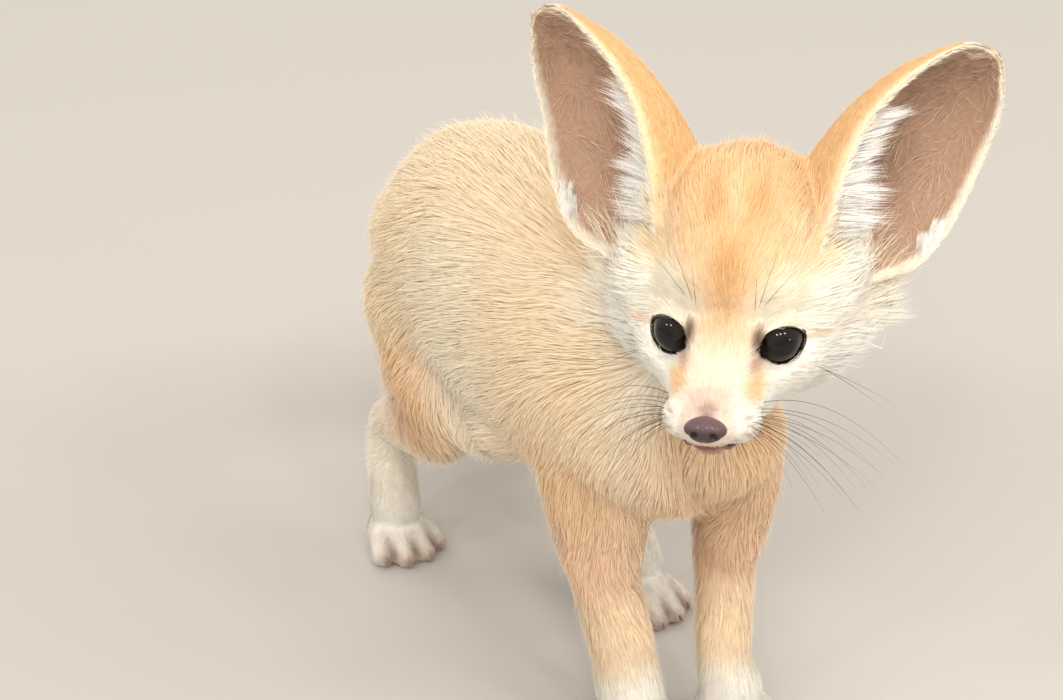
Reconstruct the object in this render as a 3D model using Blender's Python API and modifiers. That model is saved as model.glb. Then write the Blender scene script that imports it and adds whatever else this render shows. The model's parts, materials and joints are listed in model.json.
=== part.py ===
"""A young fennec fox, standing in mid-step with its head turned to its right.

Metres, +Z up. The fox faces -Y and its left side is at +X. The floor is z = 0, and
the four paws stand on it on small flats. The solids follow the outside of the coat.
"""

import math
import random

import bmesh
import bpy
import numpy as np
from mathutils import Matrix, Vector
from mathutils.bvhtree import BVHTree

# Driving dimension: the height of the back. The places below are centimetres on an animal
# whose back stands 13.8 cm high, and all of it grows or shrinks with this value
BACK_HEIGHT = 0.138
CM = BACK_HEIGHT / 13.8
GAP = 0.0003  # what two touching pieces keep between them

# Fineness of the blended flesh and of its facets
VOXEL = 0.0010
FACE_SMOOTHING = 3
BODY_SMOOTHING = 16
EVEN_TRIANGLES = 7400  # after the first thinning, which is the same all over
FLESH_TRIANGLES = 4300  # after the second, which spares the head and the paws

# Where the head is carried, and how it is turned
EYE_MIDPOINT = Vector((-0.63, -2.31, 13.5)) * CM
HEAD_TURN = math.radians(45.0)  # to its own right
HEAD_NOD = math.radians(-8.5)  # nose down is positive
HEAD_TILT = math.radians(0.6)  # left ear up is positive

# Coats and bare skin, as seen (linear colour, roughness)
COAT_SAND = ((0.75, 0.60, 0.38), 0.9)
COAT_CREAM = ((0.84, 0.74, 0.58), 0.9)
COAT_GOLD = ((0.80, 0.56, 0.30), 0.9)
EYE_BLACK = ((0.012, 0.008, 0.007), 0.08)
NOSE_BROWN = ((0.16, 0.075, 0.075), 0.4)

random.seed(7)

for old in list(bpy.data.objects):
    bpy.data.objects.remove(old)

fox = bpy.data.collections.new("fennec_fox_kit")
helpers = bpy.data.collections.new("cutters")
bpy.context.scene.collection.children.link(fox)
bpy.context.scene.collection.children.link(helpers)
helpers.hide_render = True


# Frames and materials


def head_frame():
    """Head axes to world: x to its left, y forward along the face, z up, in centimetres."""
    turn = Matrix.Rotation(math.pi - HEAD_TURN, 4, "Z")
    nod = Matrix.Rotation(-HEAD_NOD, 4, "X")
    tilt = Matrix.Rotation(HEAD_TILT, 4, "Y")
    flip = Matrix.Diagonal((-1, 1, 1, 1))
    return Matrix.Translation(EYE_MIDPOINT) @ turn @ nod @ tilt @ flip @ Matrix.Scale(CM, 4)


HEAD = head_frame()


def in_head(left, forward, up):
    return HEAD @ Vector((left, forward, up))


def head_direction(left, forward, up):
    return (HEAD.to_3x3() @ Vector((left, forward, up))).normalized()


def in_body(left, back, up):
    """A place given in centimetres to the left, behind the front toes and above the floor."""
    return Vector((left, back, up)) * CM


def material(name, finish):
    colour, roughness = finish
    made = bpy.data.materials.new(name)
    made.use_nodes = True
    shader = made.node_tree.nodes["Principled BSDF"]
    shader.inputs["Base Color"].default_value = (*colour, 1.0)
    shader.inputs["Roughness"].default_value = roughness
    made.diffuse_color = (*colour, 1.0)
    return made


SAND = material("coat_sand", COAT_SAND)
CREAM = material("coat_cream", COAT_CREAM)
GOLD = material("coat_gold", COAT_GOLD)
EYE = material("eye", EYE_BLACK)
NOSE = material("nose_skin", NOSE_BROWN)


# Making shapes


def new_object(name, mesh, collection):
    made = bpy.data.objects.new(name, mesh)
    collection.objects.link(made)
    return made


def mesh_from(name, bm, collection=helpers):
    bm.normal_update()
    bmesh.ops.recalc_face_normals(bm, faces=bm.faces)
    if bm.calc_volume(signed=True) < 0:
        bmesh.ops.reverse_faces(bm, faces=bm.faces)
    mesh = bpy.data.meshes.new(name)
    bm.to_mesh(mesh)
    bm.free()
    return new_object(name, mesh, collection)


def smooth_row(values, steps):
    """Values at even steps along a Catmull-Rom curve through the given ones."""
    rows = np.array(values, float)
    padded = np.vstack([2 * rows[0] - rows[1], rows, 2 * rows[-1] - rows[-2]])
    found = []
    for i in range(len(rows) - 1):
        p0, p1, p2, p3 = padded[i : i + 4]
        for t in np.arange(steps) / steps:
            a = 2 * p1 + (p2 - p0) * t
            b = (2 * p0 - 5 * p1 + 4 * p2 - p3) * t**2
            c = (3 * p1 - p0 - 3 * p2 + p3) * t**3
            found.append((a + b + c) / 2)
    return np.array(found + [rows[-1]])


def tube(name, stations, side=Vector((1, 0, 0)), sides=18, steps=4, collection=helpers):
    """A closed tube with round ends through stations of (centre, half width, half depth)."""
    rows = smooth_row([[*c, w, d] for c, w, d in stations], steps)
    centres = [Vector(r[:3]) for r in rows]
    frames = []
    for i, centre in enumerate(centres):
        along = (centres[min(i + 1, len(rows) - 1)] - centres[max(i - 1, 0)]).normalized()
        across = (side - along * side.dot(along)).normalized()
        frames.append((centre, along, across, along.cross(across), rows[i][3], rows[i][4]))
    rings = []
    for turn in (75, 50, 25):
        rings.append((frames[0], -math.sin(math.radians(turn)), math.cos(math.radians(turn))))
    rings += [(frame, 0.0, 1.0) for frame in frames]
    for turn in (25, 50, 75):
        rings.append((frames[-1], math.sin(math.radians(turn)), math.cos(math.radians(turn))))
    bm = bmesh.new()
    loops = []
    for (centre, along, across, deep, width, depth), push, share in rings:
        middle = centre + along * push * (width + depth) / 2
        loop = []
        for k in range(sides):
            angle = 2 * math.pi * k / sides
            reach = across * width * math.cos(angle) + deep * depth * math.sin(angle)
            loop.append(bm.verts.new(middle + reach * share))
        loops.append(loop)
    for first, second in zip(loops, loops[1:]):
        for k in range(sides):
            n = (k + 1) % sides
            bm.faces.new((first[k], first[n], second[n], second[k]))
    for loop in (loops[0], loops[-1]):
        bm.faces.new(loop)
    return mesh_from(name, bm, collection)


def ball(name, centre, radii, frame=Matrix.Identity(3), segments=20, collection=helpers):
    """An ellipsoid of these radii along the axes of frame."""
    bm = bmesh.new()
    bmesh.ops.create_uvsphere(bm, u_segments=segments, v_segments=segments // 2, radius=1.0)
    shape = Matrix.Translation(centre) @ frame.to_4x4() @ Matrix.Diagonal((*radii, 1.0))
    bm.transform(shape)
    return mesh_from(name, bm, collection)


def head_ball(name, centre, radii, segments=20):
    """An ellipsoid given in centimetres in the head's own axes."""
    bm = bmesh.new()
    bmesh.ops.create_uvsphere(bm, u_segments=segments, v_segments=segments // 2, radius=1.0)
    bm.transform(HEAD @ Matrix.Translation(centre) @ Matrix.Diagonal((*radii, 1.0)))
    return mesh_from(name, bm)


def head_tube(name, stations, sides=18):
    """A tube whose stations are (left, forward, up), half width and half depth, in centimetres."""
    rows = [(in_head(*c), w * CM, d * CM) for c, w, d in stations]
    return tube(name, rows, side=head_direction(1, 0, 0), sides=sides)


def baked(obj):
    """Gives the object the mesh that its modifiers make, and drops the modifiers."""
    bpy.context.view_layer.update()
    graph = bpy.context.evaluated_depsgraph_get()
    mesh = bpy.data.meshes.new_from_object(obj.evaluated_get(graph))
    obj.modifiers.clear()
    old = obj.data
    obj.data = mesh
    if old.users == 0:
        bpy.data.meshes.remove(old)
    return obj


def dropped(objects):
    for obj in list(objects):
        bpy.data.objects.remove(obj)


def joined(name, pieces, collection=helpers):
    """One object that holds the pieces' meshes side by side, which still overlap."""
    bm = bmesh.new()
    for piece in pieces:
        bm.from_mesh(piece.data)
    dropped(pieces)
    mesh = bpy.data.meshes.new(name)
    bm.to_mesh(mesh)
    bm.free()
    return new_object(name, mesh, collection)


def combined(obj, others, operation, solver="EXACT"):
    """A Boolean of the object with a collection of others, applied, which are then removed."""
    group = bpy.data.collections.new("operands")
    bpy.context.scene.collection.children.link(group)
    for other in others:
        for owner in list(other.users_collection):
            owner.objects.unlink(other)
        group.objects.link(other)
    modifier = obj.modifiers.new(operation.lower(), "BOOLEAN")
    modifier.operation = operation
    modifier.solver = solver
    modifier.operand_type = "COLLECTION"
    modifier.collection = group
    baked(obj)
    dropped(group.objects)
    bpy.data.collections.remove(group)
    return obj


def islands(obj):
    """The loose closed surfaces of a mesh, each as a set of face indices."""
    bm = bmesh.new()
    bm.from_mesh(obj.data)
    bm.faces.ensure_lookup_table()
    unseen = set(range(len(bm.faces)))
    found = []
    while unseen:
        seed = unseen.pop()
        island, edge_of = {seed}, [bm.faces[seed]]
        while edge_of:
            face = edge_of.pop()
            for edge in face.edges:
                for other in edge.link_faces:
                    if other.index in unseen:
                        unseen.discard(other.index)
                        island.add(other.index)
                        edge_of.append(other)
        found.append(island)
    bm.free()
    return found


def piece_of(obj, island, name, collection):
    """A new object with only the faces of this island."""
    bm = bmesh.new()
    bm.from_mesh(obj.data)
    bm.faces.ensure_lookup_table()
    bmesh.ops.delete(bm, geom=[f for f in bm.faces if f.index not in island], context="FACES")
    mesh = bpy.data.meshes.new(name)
    bm.to_mesh(mesh)
    bm.free()
    return new_object(name, mesh, collection)


def island_volume(obj, island):
    mesh = obj.data
    total = 0.0
    for index in island:
        corners = [mesh.vertices[v].co for v in mesh.polygons[index].vertices]
        for second, third in zip(corners[1:], corners[2:]):
            total += corners[0].dot(second.cross(third)) / 6
    return total


def largest(obj):
    """Keeps only the largest closed surface of the object."""
    found = islands(obj)
    if len(found) > 1:
        best = max(found, key=lambda island: island_volume(obj, island))
        kept = piece_of(obj, best, obj.name + "_kept", helpers)
        obj.data = kept.data
        bpy.data.objects.remove(kept)
    return obj


def parted(obj, seeds):
    """Splits the object into its loose pieces, each named for the free seed nearest to its middle."""
    found = sorted(islands(obj), key=lambda i: -island_volume(obj, i))[: len(seeds)]
    free, pieces = dict(seeds), {}
    for island in found:
        indices = {v for f in island for v in obj.data.polygons[f].vertices}
        middle = sum((obj.data.vertices[v].co for v in indices), Vector()) / len(indices)
        name = min(free, key=lambda n: (free[n] - middle).length)
        free.pop(name)
        pieces[name] = piece_of(obj, island, name, fox)
    return pieces


def grown(obj, by):
    """A copy of the object, swollen along its normals."""
    copy = new_object(obj.name + "_grown", obj.data.copy(), helpers)
    modifier = copy.modifiers.new("swell", "DISPLACE")
    modifier.mid_level = 0.0
    modifier.strength = by
    return baked(copy)


def slab(name, centre, normal, radius):
    """A thin round cutter that parts two pieces at a joint."""
    bm = bmesh.new()
    bmesh.ops.create_cone(
        bm, cap_ends=True, segments=24, radius1=radius, radius2=radius, depth=GAP
    )
    turn = normal.to_track_quat("Z", "Y").to_matrix().to_4x4()
    bm.transform(Matrix.Translation(centre) @ turn)
    mesh = bpy.data.meshes.new(name)
    bm.to_mesh(mesh)
    bm.free()
    return new_object(name, mesh, helpers)


def bowl(name, centre, radii):
    """A thin closed shell that parts a limb from the body on a curved face."""
    outer = ball(name, centre, [r + GAP / 2 for r in radii], segments=BOWL_SEGMENTS)
    inner = ball(name + "_inner", centre, [r - GAP / 2 for r in radii], segments=BOWL_SEGMENTS)
    bm = bmesh.new()
    bm.from_mesh(inner.data)
    bmesh.ops.reverse_faces(bm, faces=bm.faces)
    bm.to_mesh(inner.data)
    bm.free()
    return joined(name, [outer, inner])


# The head's flesh: brain case, forehead, cheeks, muzzle and jaw, with the coat on

EYE_RADIUS = 0.74
EYE_CENTRE = (1.17, -0.55, 0.0)
EYE_OUTWARD = math.radians(28.0)
EYE_OPENING = (0.68, 0.55)
LID_THICKNESS = 0.13
FACE_WEDGE = [
    # Centre (left, forward, up), half width and half depth, from the cheeks to the muzzle's end
    ((0, -3.4, -0.25), 2.9, 2.0),
    ((0, -2.3, -0.30), 3.3, 2.15),
    ((0, -1.2, -0.45), 2.95, 1.9),
    ((0, -0.3, -0.68), 2.15, 1.42),
    ((0, 0.6, -0.98), 1.45, 0.98),
    ((0, 1.4, -1.24), 1.10, 0.74),
    ((0, 2.1, -1.40), 0.80, 0.58),
]
JAW_FORM = [
    ((0, -2.2, -1.75), 1.7, 1.0),
    ((0, -0.4, -2.02), 1.0, 0.62),
    ((0, 1.0, -2.12), 0.66, 0.42),
    ((0, 1.68, -2.12), 0.46, 0.32),
]
PAIRED_FORMS = [
    ("brow", (1.2, -0.95, 0.72), (0.8, 0.6, 0.42)),
    ("whisker_pad", (0.62, 1.65, -1.42), (0.52, 0.75, 0.50)),
    ("temple", (2.2, -2.0, 0.9), (1.1, 1.4, 1.3)),
    ("ear_root", (2.45, -3.15, 1.45), (0.98, 1.1, 1.0)),
    ("ear_foot", (2.65, -3.0, 0.6), (0.92, 1.25, 1.1)),
]
MOUTH_LINE = [(0.50, 2.02, -1.93), (0.78, 1.25, -1.92), (1.0, 0.5, -1.80), (1.2, -0.1, -1.62)]
MOUTH_CUT = [
    # Forward and up, in centimetres: between the lips, round the corner and behind the jaw
    (3.2, -1.98),
    (2.2, -1.98),
    (1.3, -1.96),
    (0.5, -1.84),
    (-0.1, -1.66),
    (-0.5, -1.80),
    (-0.75, -2.2),
    (-0.8, -3.5),
]


def head_forms():
    forms = [
        head_ball("brain_case", (0, -2.9, 1.35), (2.8, 2.75, 2.85)),
        head_ball("crown", (0, -2.95, 2.85), (2.15, 1.8, 1.4)),
        head_ball("forehead", (0, -1.5, 1.15), (2.25, 1.85, 1.8)),
        head_tube("face_wedge", FACE_WEDGE, sides=24),
        head_tube("lower_jaw_form", JAW_FORM),
    ]
    lid = EYE_RADIUS + LID_THICKNESS
    for side in (-1, 1):
        for name, (left, forward, up), radii in PAIRED_FORMS:
            forms.append(head_ball(name, (side * left, forward, up), radii))
        left, forward, up = EYE_CENTRE
        forms.append(head_ball("lids", (side * left, forward, up), (lid, lid, lid)))
        line = [((side * a, b, c), 0.13, 0.13) for a, b, c in MOUTH_LINE]
        forms.append(head_tube("lip", line, sides=8))
    return forms


def eye_axis(side):
    return head_direction(side * math.sin(EYE_OUTWARD), math.cos(EYE_OUTWARD), 0)


def eye_place(side):
    left, forward, up = EYE_CENTRE
    return in_head(side * left, forward, up)


def eye_ball(name, side, radius, collection=helpers):
    return ball(name, eye_place(side), [radius * CM] * 3, segments=16, collection=collection)


def eye_opening(side):
    """A flaring cutter that opens the lids to the shape of the eye's slit."""
    axis, centre = eye_axis(side), eye_place(side)
    width, height = EYE_OPENING
    line = [(0.35, 0.86), (0.62, 1.0), (1.0, 1.25), (1.7, 1.9)]
    rows = [(centre + axis * d * CM, width * f * CM, height * f * CM) for d, f in line]
    return tube("eye_opening", rows, side=head_direction(1, 0, 0), sides=20, steps=2)


def mouth_cutter():
    """A thin ribbon through the line of the mouth, which frees the lower jaw."""
    bm = bmesh.new()
    rows = []
    for forward, up in smooth_row(MOUTH_CUT, 3):
        rows.append([bm.verts.new(in_head(left, forward, up)) for left in (-2.3, 2.3)])
    for first, second in zip(rows, rows[1:]):
        bm.faces.new((first[0], first[1], second[1], second[0]))
    ribbon = mesh_from("mouth_cutter", bm)
    wall = ribbon.modifiers.new("wall", "SOLIDIFY")
    wall.thickness = GAP
    wall.offset = 0.0
    wall.use_even_offset = True
    return baked(ribbon)


# The nose: a bare, rounded pad with two comma-shaped nostrils

NOSE_CENTRE = (0.0, 2.62, -1.40)
NOSE_RADII = (0.54, 0.42, 0.36)


def nose_form(name, extra, collection=helpers):
    bm = bmesh.new()
    bmesh.ops.create_uvsphere(bm, u_segments=16, v_segments=8, radius=1.0)
    for vertex in bm.verts:
        narrow = 1.0 - 0.22 * max(0.0, -vertex.co.z)
        vertex.co.x *= narrow
    swell = [r + extra for r in NOSE_RADII]
    bm.transform(HEAD @ Matrix.Translation(NOSE_CENTRE) @ Matrix.Diagonal((*swell, 1.0)))
    return mesh_from(name, bm, collection)


def make_nose():
    nose = nose_form("nose", 0.0, fox)
    for side in (-1, 1):
        hole = head_ball("nostril", (side * 0.22, 3.0, -1.44), (0.11, 0.22, 0.10), 8)
        slit = head_ball("nostril_slit", (side * 0.40, 2.9, -1.53), (0.15, 0.26, 0.05), 8)
        combined(nose, [hole, slit], "DIFFERENCE")
    return largest(nose)


# The ears: thin cupped shells, rolled at the root, that open forwards and outwards

EAR_THICKNESS = 0.13
EAR_OPENS = Vector((0.63, 0.73, -0.25)).normalized()
EAR_STATIONS = [
    # Inner edge, outer edge (left, forward, up), depth of the cup, how far the edges roll in
    ((1.70, -2.2, 1.3), (3.15, -2.75, -0.05), 1.35, 24.0),
    ((1.60, -2.0, 1.9), (3.7, -2.75, 0.7), 1.8, 22.0),
    ((1.85, -1.95, 3.1), (4.3, -3.1, 1.65), 2.15, 16.0),
    ((2.30, -1.85, 4.3), (5.05, -3.8, 2.7), 2.1, 8.0),
    ((2.85, -1.90, 5.4), (5.6, -4.4, 3.9), 1.75, 2.0),
    ((3.60, -2.15, 6.4), (5.95, -4.5, 5.15), 1.25, 0.0),
    ((4.35, -2.50, 7.05), (5.95, -4.1, 6.2), 0.65, 0.0),
    ((4.92, -2.90, 7.36), (5.74, -3.6, 6.95), 0.28, 0.0),
    ((5.22, -3.12, 7.42), (5.50, -3.38, 7.28), 0.10, 0.0),
]
EAR_COLUMNS = 10
EAR_HINGE = Vector((2.9, -2.6, 1.8))
EAR_DROOP = {-1: 0.0, 1: math.radians(3.0)}  # the left ear is held a little lower
POCKET_CENTRE = (4.72, -3.72, 2.35)  # a small fold low on the outer edge
POCKET_RADII = (0.36, 0.09, 0.62)
POCKET_EDGE = Vector((0.52, -0.45, 0.72)).normalized()
POCKET_ACROSS = Vector((0.75, 0.62, 0.0))


def ear_pocket(side):
    """The flat fold that forms the little pouch on the ear's outer edge."""
    left, forward, up = POCKET_CENTRE
    edge = head_direction(side * POCKET_EDGE.x, POCKET_EDGE.y, POCKET_EDGE.z)
    across = head_direction(side * POCKET_ACROSS.x, POCKET_ACROSS.y, POCKET_ACROSS.z)
    across = (across - edge * across.dot(edge)).normalized()
    frame = Matrix((across, edge.cross(across), edge)).transposed()
    radii = [r * CM for r in POCKET_RADII]
    return ball("pocket", in_head(side * left, forward, up), radii, frame, segments=10)


def make_ear(name, side):
    rows = smooth_row([[*inner, *outer, depth, roll] for inner, outer, depth, roll in EAR_STATIONS], 2)
    droop = Matrix.Rotation(EAR_DROOP[side], 3, "Y")
    bm = bmesh.new()
    grid = []
    for row in rows:
        inner, outer = Vector(row[:3]), Vector(row[3:6])
        middle, half = (inner + outer) / 2, (outer - inner) / 2
        roll = math.radians(row[7])
        line = []
        for k in range(EAR_COLUMNS + 1):
            angle = -roll + (math.pi + 2 * roll) * k / EAR_COLUMNS
            place = middle - half * math.cos(angle) - EAR_OPENS * row[6] * math.sin(angle)
            place = EAR_HINGE + droop @ (place - EAR_HINGE)
            line.append(bm.verts.new(in_head(side * place.x, place.y, place.z)))
        grid.append(line)
    for first, second in zip(grid, grid[1:]):
        for k in range(EAR_COLUMNS):
            corners = (first[k], first[k + 1], second[k + 1], second[k])
            face = bm.faces.new(corners if side > 0 else corners[::-1])
            bmesh.ops.triangulate(bm, faces=[face])
    mesh = bpy.data.meshes.new(name)
    bm.to_mesh(mesh)
    bm.free()
    ear = new_object(name, mesh, fox)
    wall = ear.modifiers.new("wall", "SOLIDIFY")
    wall.thickness = EAR_THICKNESS * CM
    wall.offset = 1.0
    baked(ear)
    bm = bmesh.new()
    bm.from_mesh(ear.data)
    bmesh.ops.recalc_face_normals(bm, faces=bm.faces)
    bm.to_mesh(ear.data)
    bm.free()
    combined(ear, [ear_pocket(side)], "UNION")
    return largest(ear)


# The body's flesh: torso, neck, four legs with their toes

LEGS = {
    # Joints down each leg: (left, back, up) in centimetres, half width, half depth
    "fore_right": {
        "joints": [
            ((-1.2, 3.4, 8.6), 1.3, 1.8),
            ((-1.55, 2.9, 6.5), 1.0, 1.2),
            ((-1.22, 1.95, 4.0), 0.98, 0.98),
            ((-1.12, 1.25, 2.1), 0.92, 0.90),
            ((-1.12, 0.85, 1.0), 0.95, 0.92),
        ],
        "toes": (-1.12, 0.15),
        "splay": -3.0,
    },
    "fore_left": {
        "joints": [
            ((2.8, 2.2, 8.2), 1.35, 1.8),
            ((2.65, 1.9, 6.4), 1.02, 1.2),
            ((2.0, 1.0, 3.6), 0.88, 0.92),
            ((1.42, 0.15, 2.0), 0.78, 0.80),
            ((1.35, -0.3, 1.0), 0.86, 0.88),
        ],
        "toes": (1.3, -1.1),
        "splay": 3.0,
    },
    "hind_right": {
        "joints": [
            ((-1.0, 11.3, 8.6), 1.8, 2.5),
            ((-1.9, 9.2, 6.4), 1.25, 1.7),
            ((-1.75, 11.0, 4.9), 0.90, 1.1),
            ((-1.45, 12.75, 3.75), 0.78, 0.80),
            ((-1.62, 12.35, 1.3), 0.86, 0.88),
        ],
        "toes": (-1.72, 11.35),
        "splay": -4.0,
    },
    "hind_left": {
        "joints": [
            ((2.1, 10.4, 8.6), 1.8, 2.5),
            ((2.85, 7.2, 6.3), 1.25, 1.7),
            ((2.85, 7.4, 4.7), 0.90, 1.1),
            ((2.75, 7.9, 3.5), 0.78, 0.80),
            ((2.6, 6.1, 1.25), 0.84, 0.86),
        ],
        "toes": (2.5, 4.75),
        "splay": 4.0,
    },
}
PAW_LENGTH = 1.5  # knuckles to toe tips, in centimetres
TOE_SPREAD = (-0.78, -0.28, 0.28, 0.78)
TOE_REACH = (0.0, 0.36, 0.36, 0.0)
TOE_RADIUS = 0.39
CLAW_LENGTH = 0.42


def toe_line(leg, number):
    """Root and tip of one toe, in centimetres: the two middle toes reach further forward."""
    left, back = leg["toes"]
    heading = Matrix.Rotation(math.radians(leg["splay"]), 3, "Z") @ Vector((0, -1, 0))
    across = Vector((-heading.y, heading.x, 0))
    middle = Vector((left, back, 0))
    sideways = across * TOE_SPREAD[number]
    tip = middle + sideways * 1.12 + heading * (TOE_REACH[number] - 0.1)
    root = middle + sideways * 0.8 - heading * PAW_LENGTH * 0.75
    return root + Vector((0, 0, 0.70)), tip + Vector((0, 0, 0.24)), heading


def leg_forms(name, leg):
    rows = [(in_body(*place), width * CM, depth * CM) for place, width, depth in leg["joints"]]
    forms = [tube(name + "_limb", rows)]
    for number in range(4):
        root, tip, heading = toe_line(leg, number)
        knuckle = root.lerp(tip, 0.55) + Vector((0, 0, 0.16))
        line = [
            (in_body(*root), TOE_RADIUS * CM * 1.05, TOE_RADIUS * CM * 1.05),
            (in_body(*knuckle), TOE_RADIUS * CM, TOE_RADIUS * CM),
            (in_body(*tip), TOE_RADIUS * CM * 0.86, TOE_RADIUS * CM * 0.82),
        ]
        forms.append(tube(name + "_toe", line, sides=12, steps=3))
    left, back = leg["toes"]
    pad = in_body(left, back + 0.8, 0.24)
    forms.append(ball(name + "_pad", pad, (0.92 * CM, 0.90 * CM, 0.42 * CM)))
    return forms


def claw(leg, number):
    """A short curved claw, rooted in the end of its toe and clear of the floor."""
    root, tip, heading = toe_line(leg, number)
    start = tip + heading * 0.10 + Vector((0, 0, 0.10))
    points = [start, start + heading * CLAW_LENGTH * 0.6 + Vector((0, 0, 0.03))]
    points.append(start + heading * CLAW_LENGTH + Vector((0, 0, -0.10)))
    rings = []
    bm = bmesh.new()
    for point, radius in zip(points, (0.10, 0.07)):
        ring = []
        for k in range(5):
            angle = 2 * math.pi * k / 5
            across = heading.cross(Vector((0, 0, 1))) * math.cos(angle)
            reach = across + Vector((0, 0, 1.3 * math.sin(angle)))
            ring.append(bm.verts.new(in_body(*(point + reach * radius))))
        rings.append(ring)
    end = bm.verts.new(in_body(*points[-1]))
    for k in range(5):
        n = (k + 1) % 5
        bm.faces.new((rings[0][k], rings[0][n], rings[1][n], rings[1][k]))
        bm.faces.new((rings[1][k], rings[1][n], end))
    bm.faces.new(rings[0])
    return mesh_from("claw", bm)


TORSO = [
    # Centre (left, back, up), half width and half height, in centimetres
    ((0.40, 13.35, 9.0), 1.75, 2.1),
    ((0.45, 12.3, 9.2), 2.6, 3.15),
    ((0.45, 10.0, 9.75), 3.25, 4.15),
    ((0.50, 6.8, 9.6), 3.45, 4.2),
    ((0.55, 3.4, 9.15), 3.25, 3.75),
    ((1.0, 1.45, 8.5), 2.95, 2.6),
    ((1.40, 0.55, 8.35), 1.95, 1.9),
]
NECK = [
    ((0.6, 4.2, 10.2), 2.6, 2.9),
    ((1.2, 2.2, 11.2), 2.5, 2.6),
    ((1.7, 0.7, 12.5), 2.3, 2.3),
]
BREAST = ((1.1, 1.3, 10.0), (2.4, 1.9, 2.4))  # centre and radii


def body_forms():
    forms = [tube("torso_form", [(in_body(*c), w * CM, h * CM) for c, w, h in TORSO], sides=24)]
    forms.append(tube("neck_form", [(in_body(*c), w * CM, h * CM) for c, w, h in NECK], sides=22))
    centre, radii = BREAST
    forms.append(ball("breast_form", in_body(*centre), [r * CM for r in radii]))
    for name, leg in LEGS.items():
        forms += leg_forms(name, leg)
    return forms


CRISP_CENTRE = (0, 1.0, -0.8)  # in the muzzle, in the head's axes
CRISP_RADIUS = 1.9
CRISP_FADE = 0.9
PAW_TOP = 1.4
PAW_CRISPNESS = 0.45


def weigh_head(obj):
    """Vertex groups that tell the head and paws, which stay crisp, from the rest."""
    crisp, soft = obj.vertex_groups.new(name="crisp"), obj.vertex_groups.new(name="soft")
    centre = in_head(*CRISP_CENTRE)
    for vertex in obj.data.vertices:
        beyond = (vertex.co - centre).length / CM - CRISP_RADIUS
        near_head = 1.0 - max(0.0, beyond) / CRISP_FADE
        near_floor = PAW_CRISPNESS if vertex.co.z < PAW_TOP * CM else 0.0
        weight = min(1.0, max(0.0, near_head, near_floor))
        crisp.add([vertex.index], weight, "REPLACE")
        soft.add([vertex.index], 1.0 - weight, "REPLACE")


def make_flesh():
    flesh = joined("flesh", head_forms() + body_forms())
    remesh = flesh.modifiers.new("blend", "REMESH")
    remesh.mode = "VOXEL"
    remesh.voxel_size = VOXEL
    relax = flesh.modifiers.new("relax", "SMOOTH")
    relax.factor = 0.5
    relax.iterations = FACE_SMOOTHING
    baked(flesh)
    weigh_head(flesh)
    soften = flesh.modifiers.new("soften", "SMOOTH")
    soften.factor = 0.5
    soften.iterations = BODY_SMOOTHING
    soften.vertex_group = "soft"
    evenly = flesh.modifiers.new("evenly", "DECIMATE")
    evenly.ratio = EVEN_TRIANGLES / (2 * len(flesh.data.polygons))
    sparing = flesh.modifiers.new("sparing", "DECIMATE")
    sparing.ratio = FLESH_TRIANGLES / EVEN_TRIANGLES
    sparing.vertex_group = "crisp"
    sparing.invert_vertex_group = True
    sparing.vertex_group_factor = 1.0
    baked(flesh)
    bm = bmesh.new()
    bm.from_mesh(flesh.data)
    floor = bmesh.ops.bisect_plane(
        bm,
        geom=bm.verts[:] + bm.edges[:] + bm.faces[:],
        plane_co=(0, 0, 0),
        plane_no=(0, 0, -1),
        clear_outer=True,
    )
    edges = [g for g in floor["geom_cut"] if isinstance(g, bmesh.types.BMEdge)]
    bmesh.ops.triangle_fill(bm, edges=edges, normal=(0, 0, -1), use_beauty=True)
    bmesh.ops.recalc_face_normals(bm, faces=bm.faces)
    bm.to_mesh(flesh.data)
    bm.free()
    return largest(flesh)


# Where the body is parted: thin flat cuts across, and curved ones round shoulder and hip

BOWL_SEGMENTS = 12
BOWLS = {
    "neck": ((1.15, 1.6, 11.6), (3.3, 3.25, 2.75)),
    "upper_foreleg_right": ((-1.55, 3.0, 6.9), (1.75, 2.05, 2.2)),
    "upper_foreleg_left": ((2.65, 2.1, 6.8), (1.75, 2.05, 2.2)),
    "thigh_right": ((-1.7, 9.9, 7.7), (1.95, 3.1, 3.0)),
    "thigh_left": ((2.8, 8.3, 7.4), (2.1, 3.5, 3.1)),
}
SLABS = [
    # Centre and normal in centimetres, radius
    ((-1.12, 1.22, 1.95), (0, 0.3, 1), 1.5),
    ((1.42, 0.15, 1.9), (0.2, 0.4, 1), 1.4),
    ((-1.47, 12.75, 3.55), (0.0, -0.5, 1), 1.4),
    ((2.75, 7.75, 3.3), (0, 0.4, 1), 1.4),
]
NAMES = {
    # A point near the middle of each piece, (left, back, up) in centimetres
    "torso": (0.5, 7.5, 9.6),
    "neck": (1.1, 1.2, 11.3),
    "head": (0.6, -1.2, 13.4),
    "lower_jaw": (-1.0, -3.0, 11.4),
    "upper_foreleg_right": (-1.6, 3.0, 7.0),
    "upper_foreleg_left": (2.6, 2.1, 7.0),
    "thigh_right": (-2.0, 9.8, 7.2),
    "thigh_left": (3.0, 8.6, 7.2),
    "lower_foreleg_right": (-1.2, 1.9, 3.6),
    "lower_foreleg_left": (1.8, 0.9, 3.4),
    "shank_right": (-1.7, 11.2, 4.6),
    "shank_left": (2.8, 7.5, 4.2),
    "forepaw_right": (-1.1, 0.6, 0.7),
    "forepaw_left": (1.3, -0.6, 0.7),
    "hind_paw_right": (-1.7, 12.0, 1.2),
    "hind_paw_left": (2.6, 5.8, 1.2),
}


def face_cutters():
    found = [nose_form("nose_seat", GAP / CM), mouth_cutter()]
    for side in (-1, 1):
        found.append(eye_ball("socket", side, EYE_RADIUS + GAP / CM))
        found.append(eye_opening(side))
    return found


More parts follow.
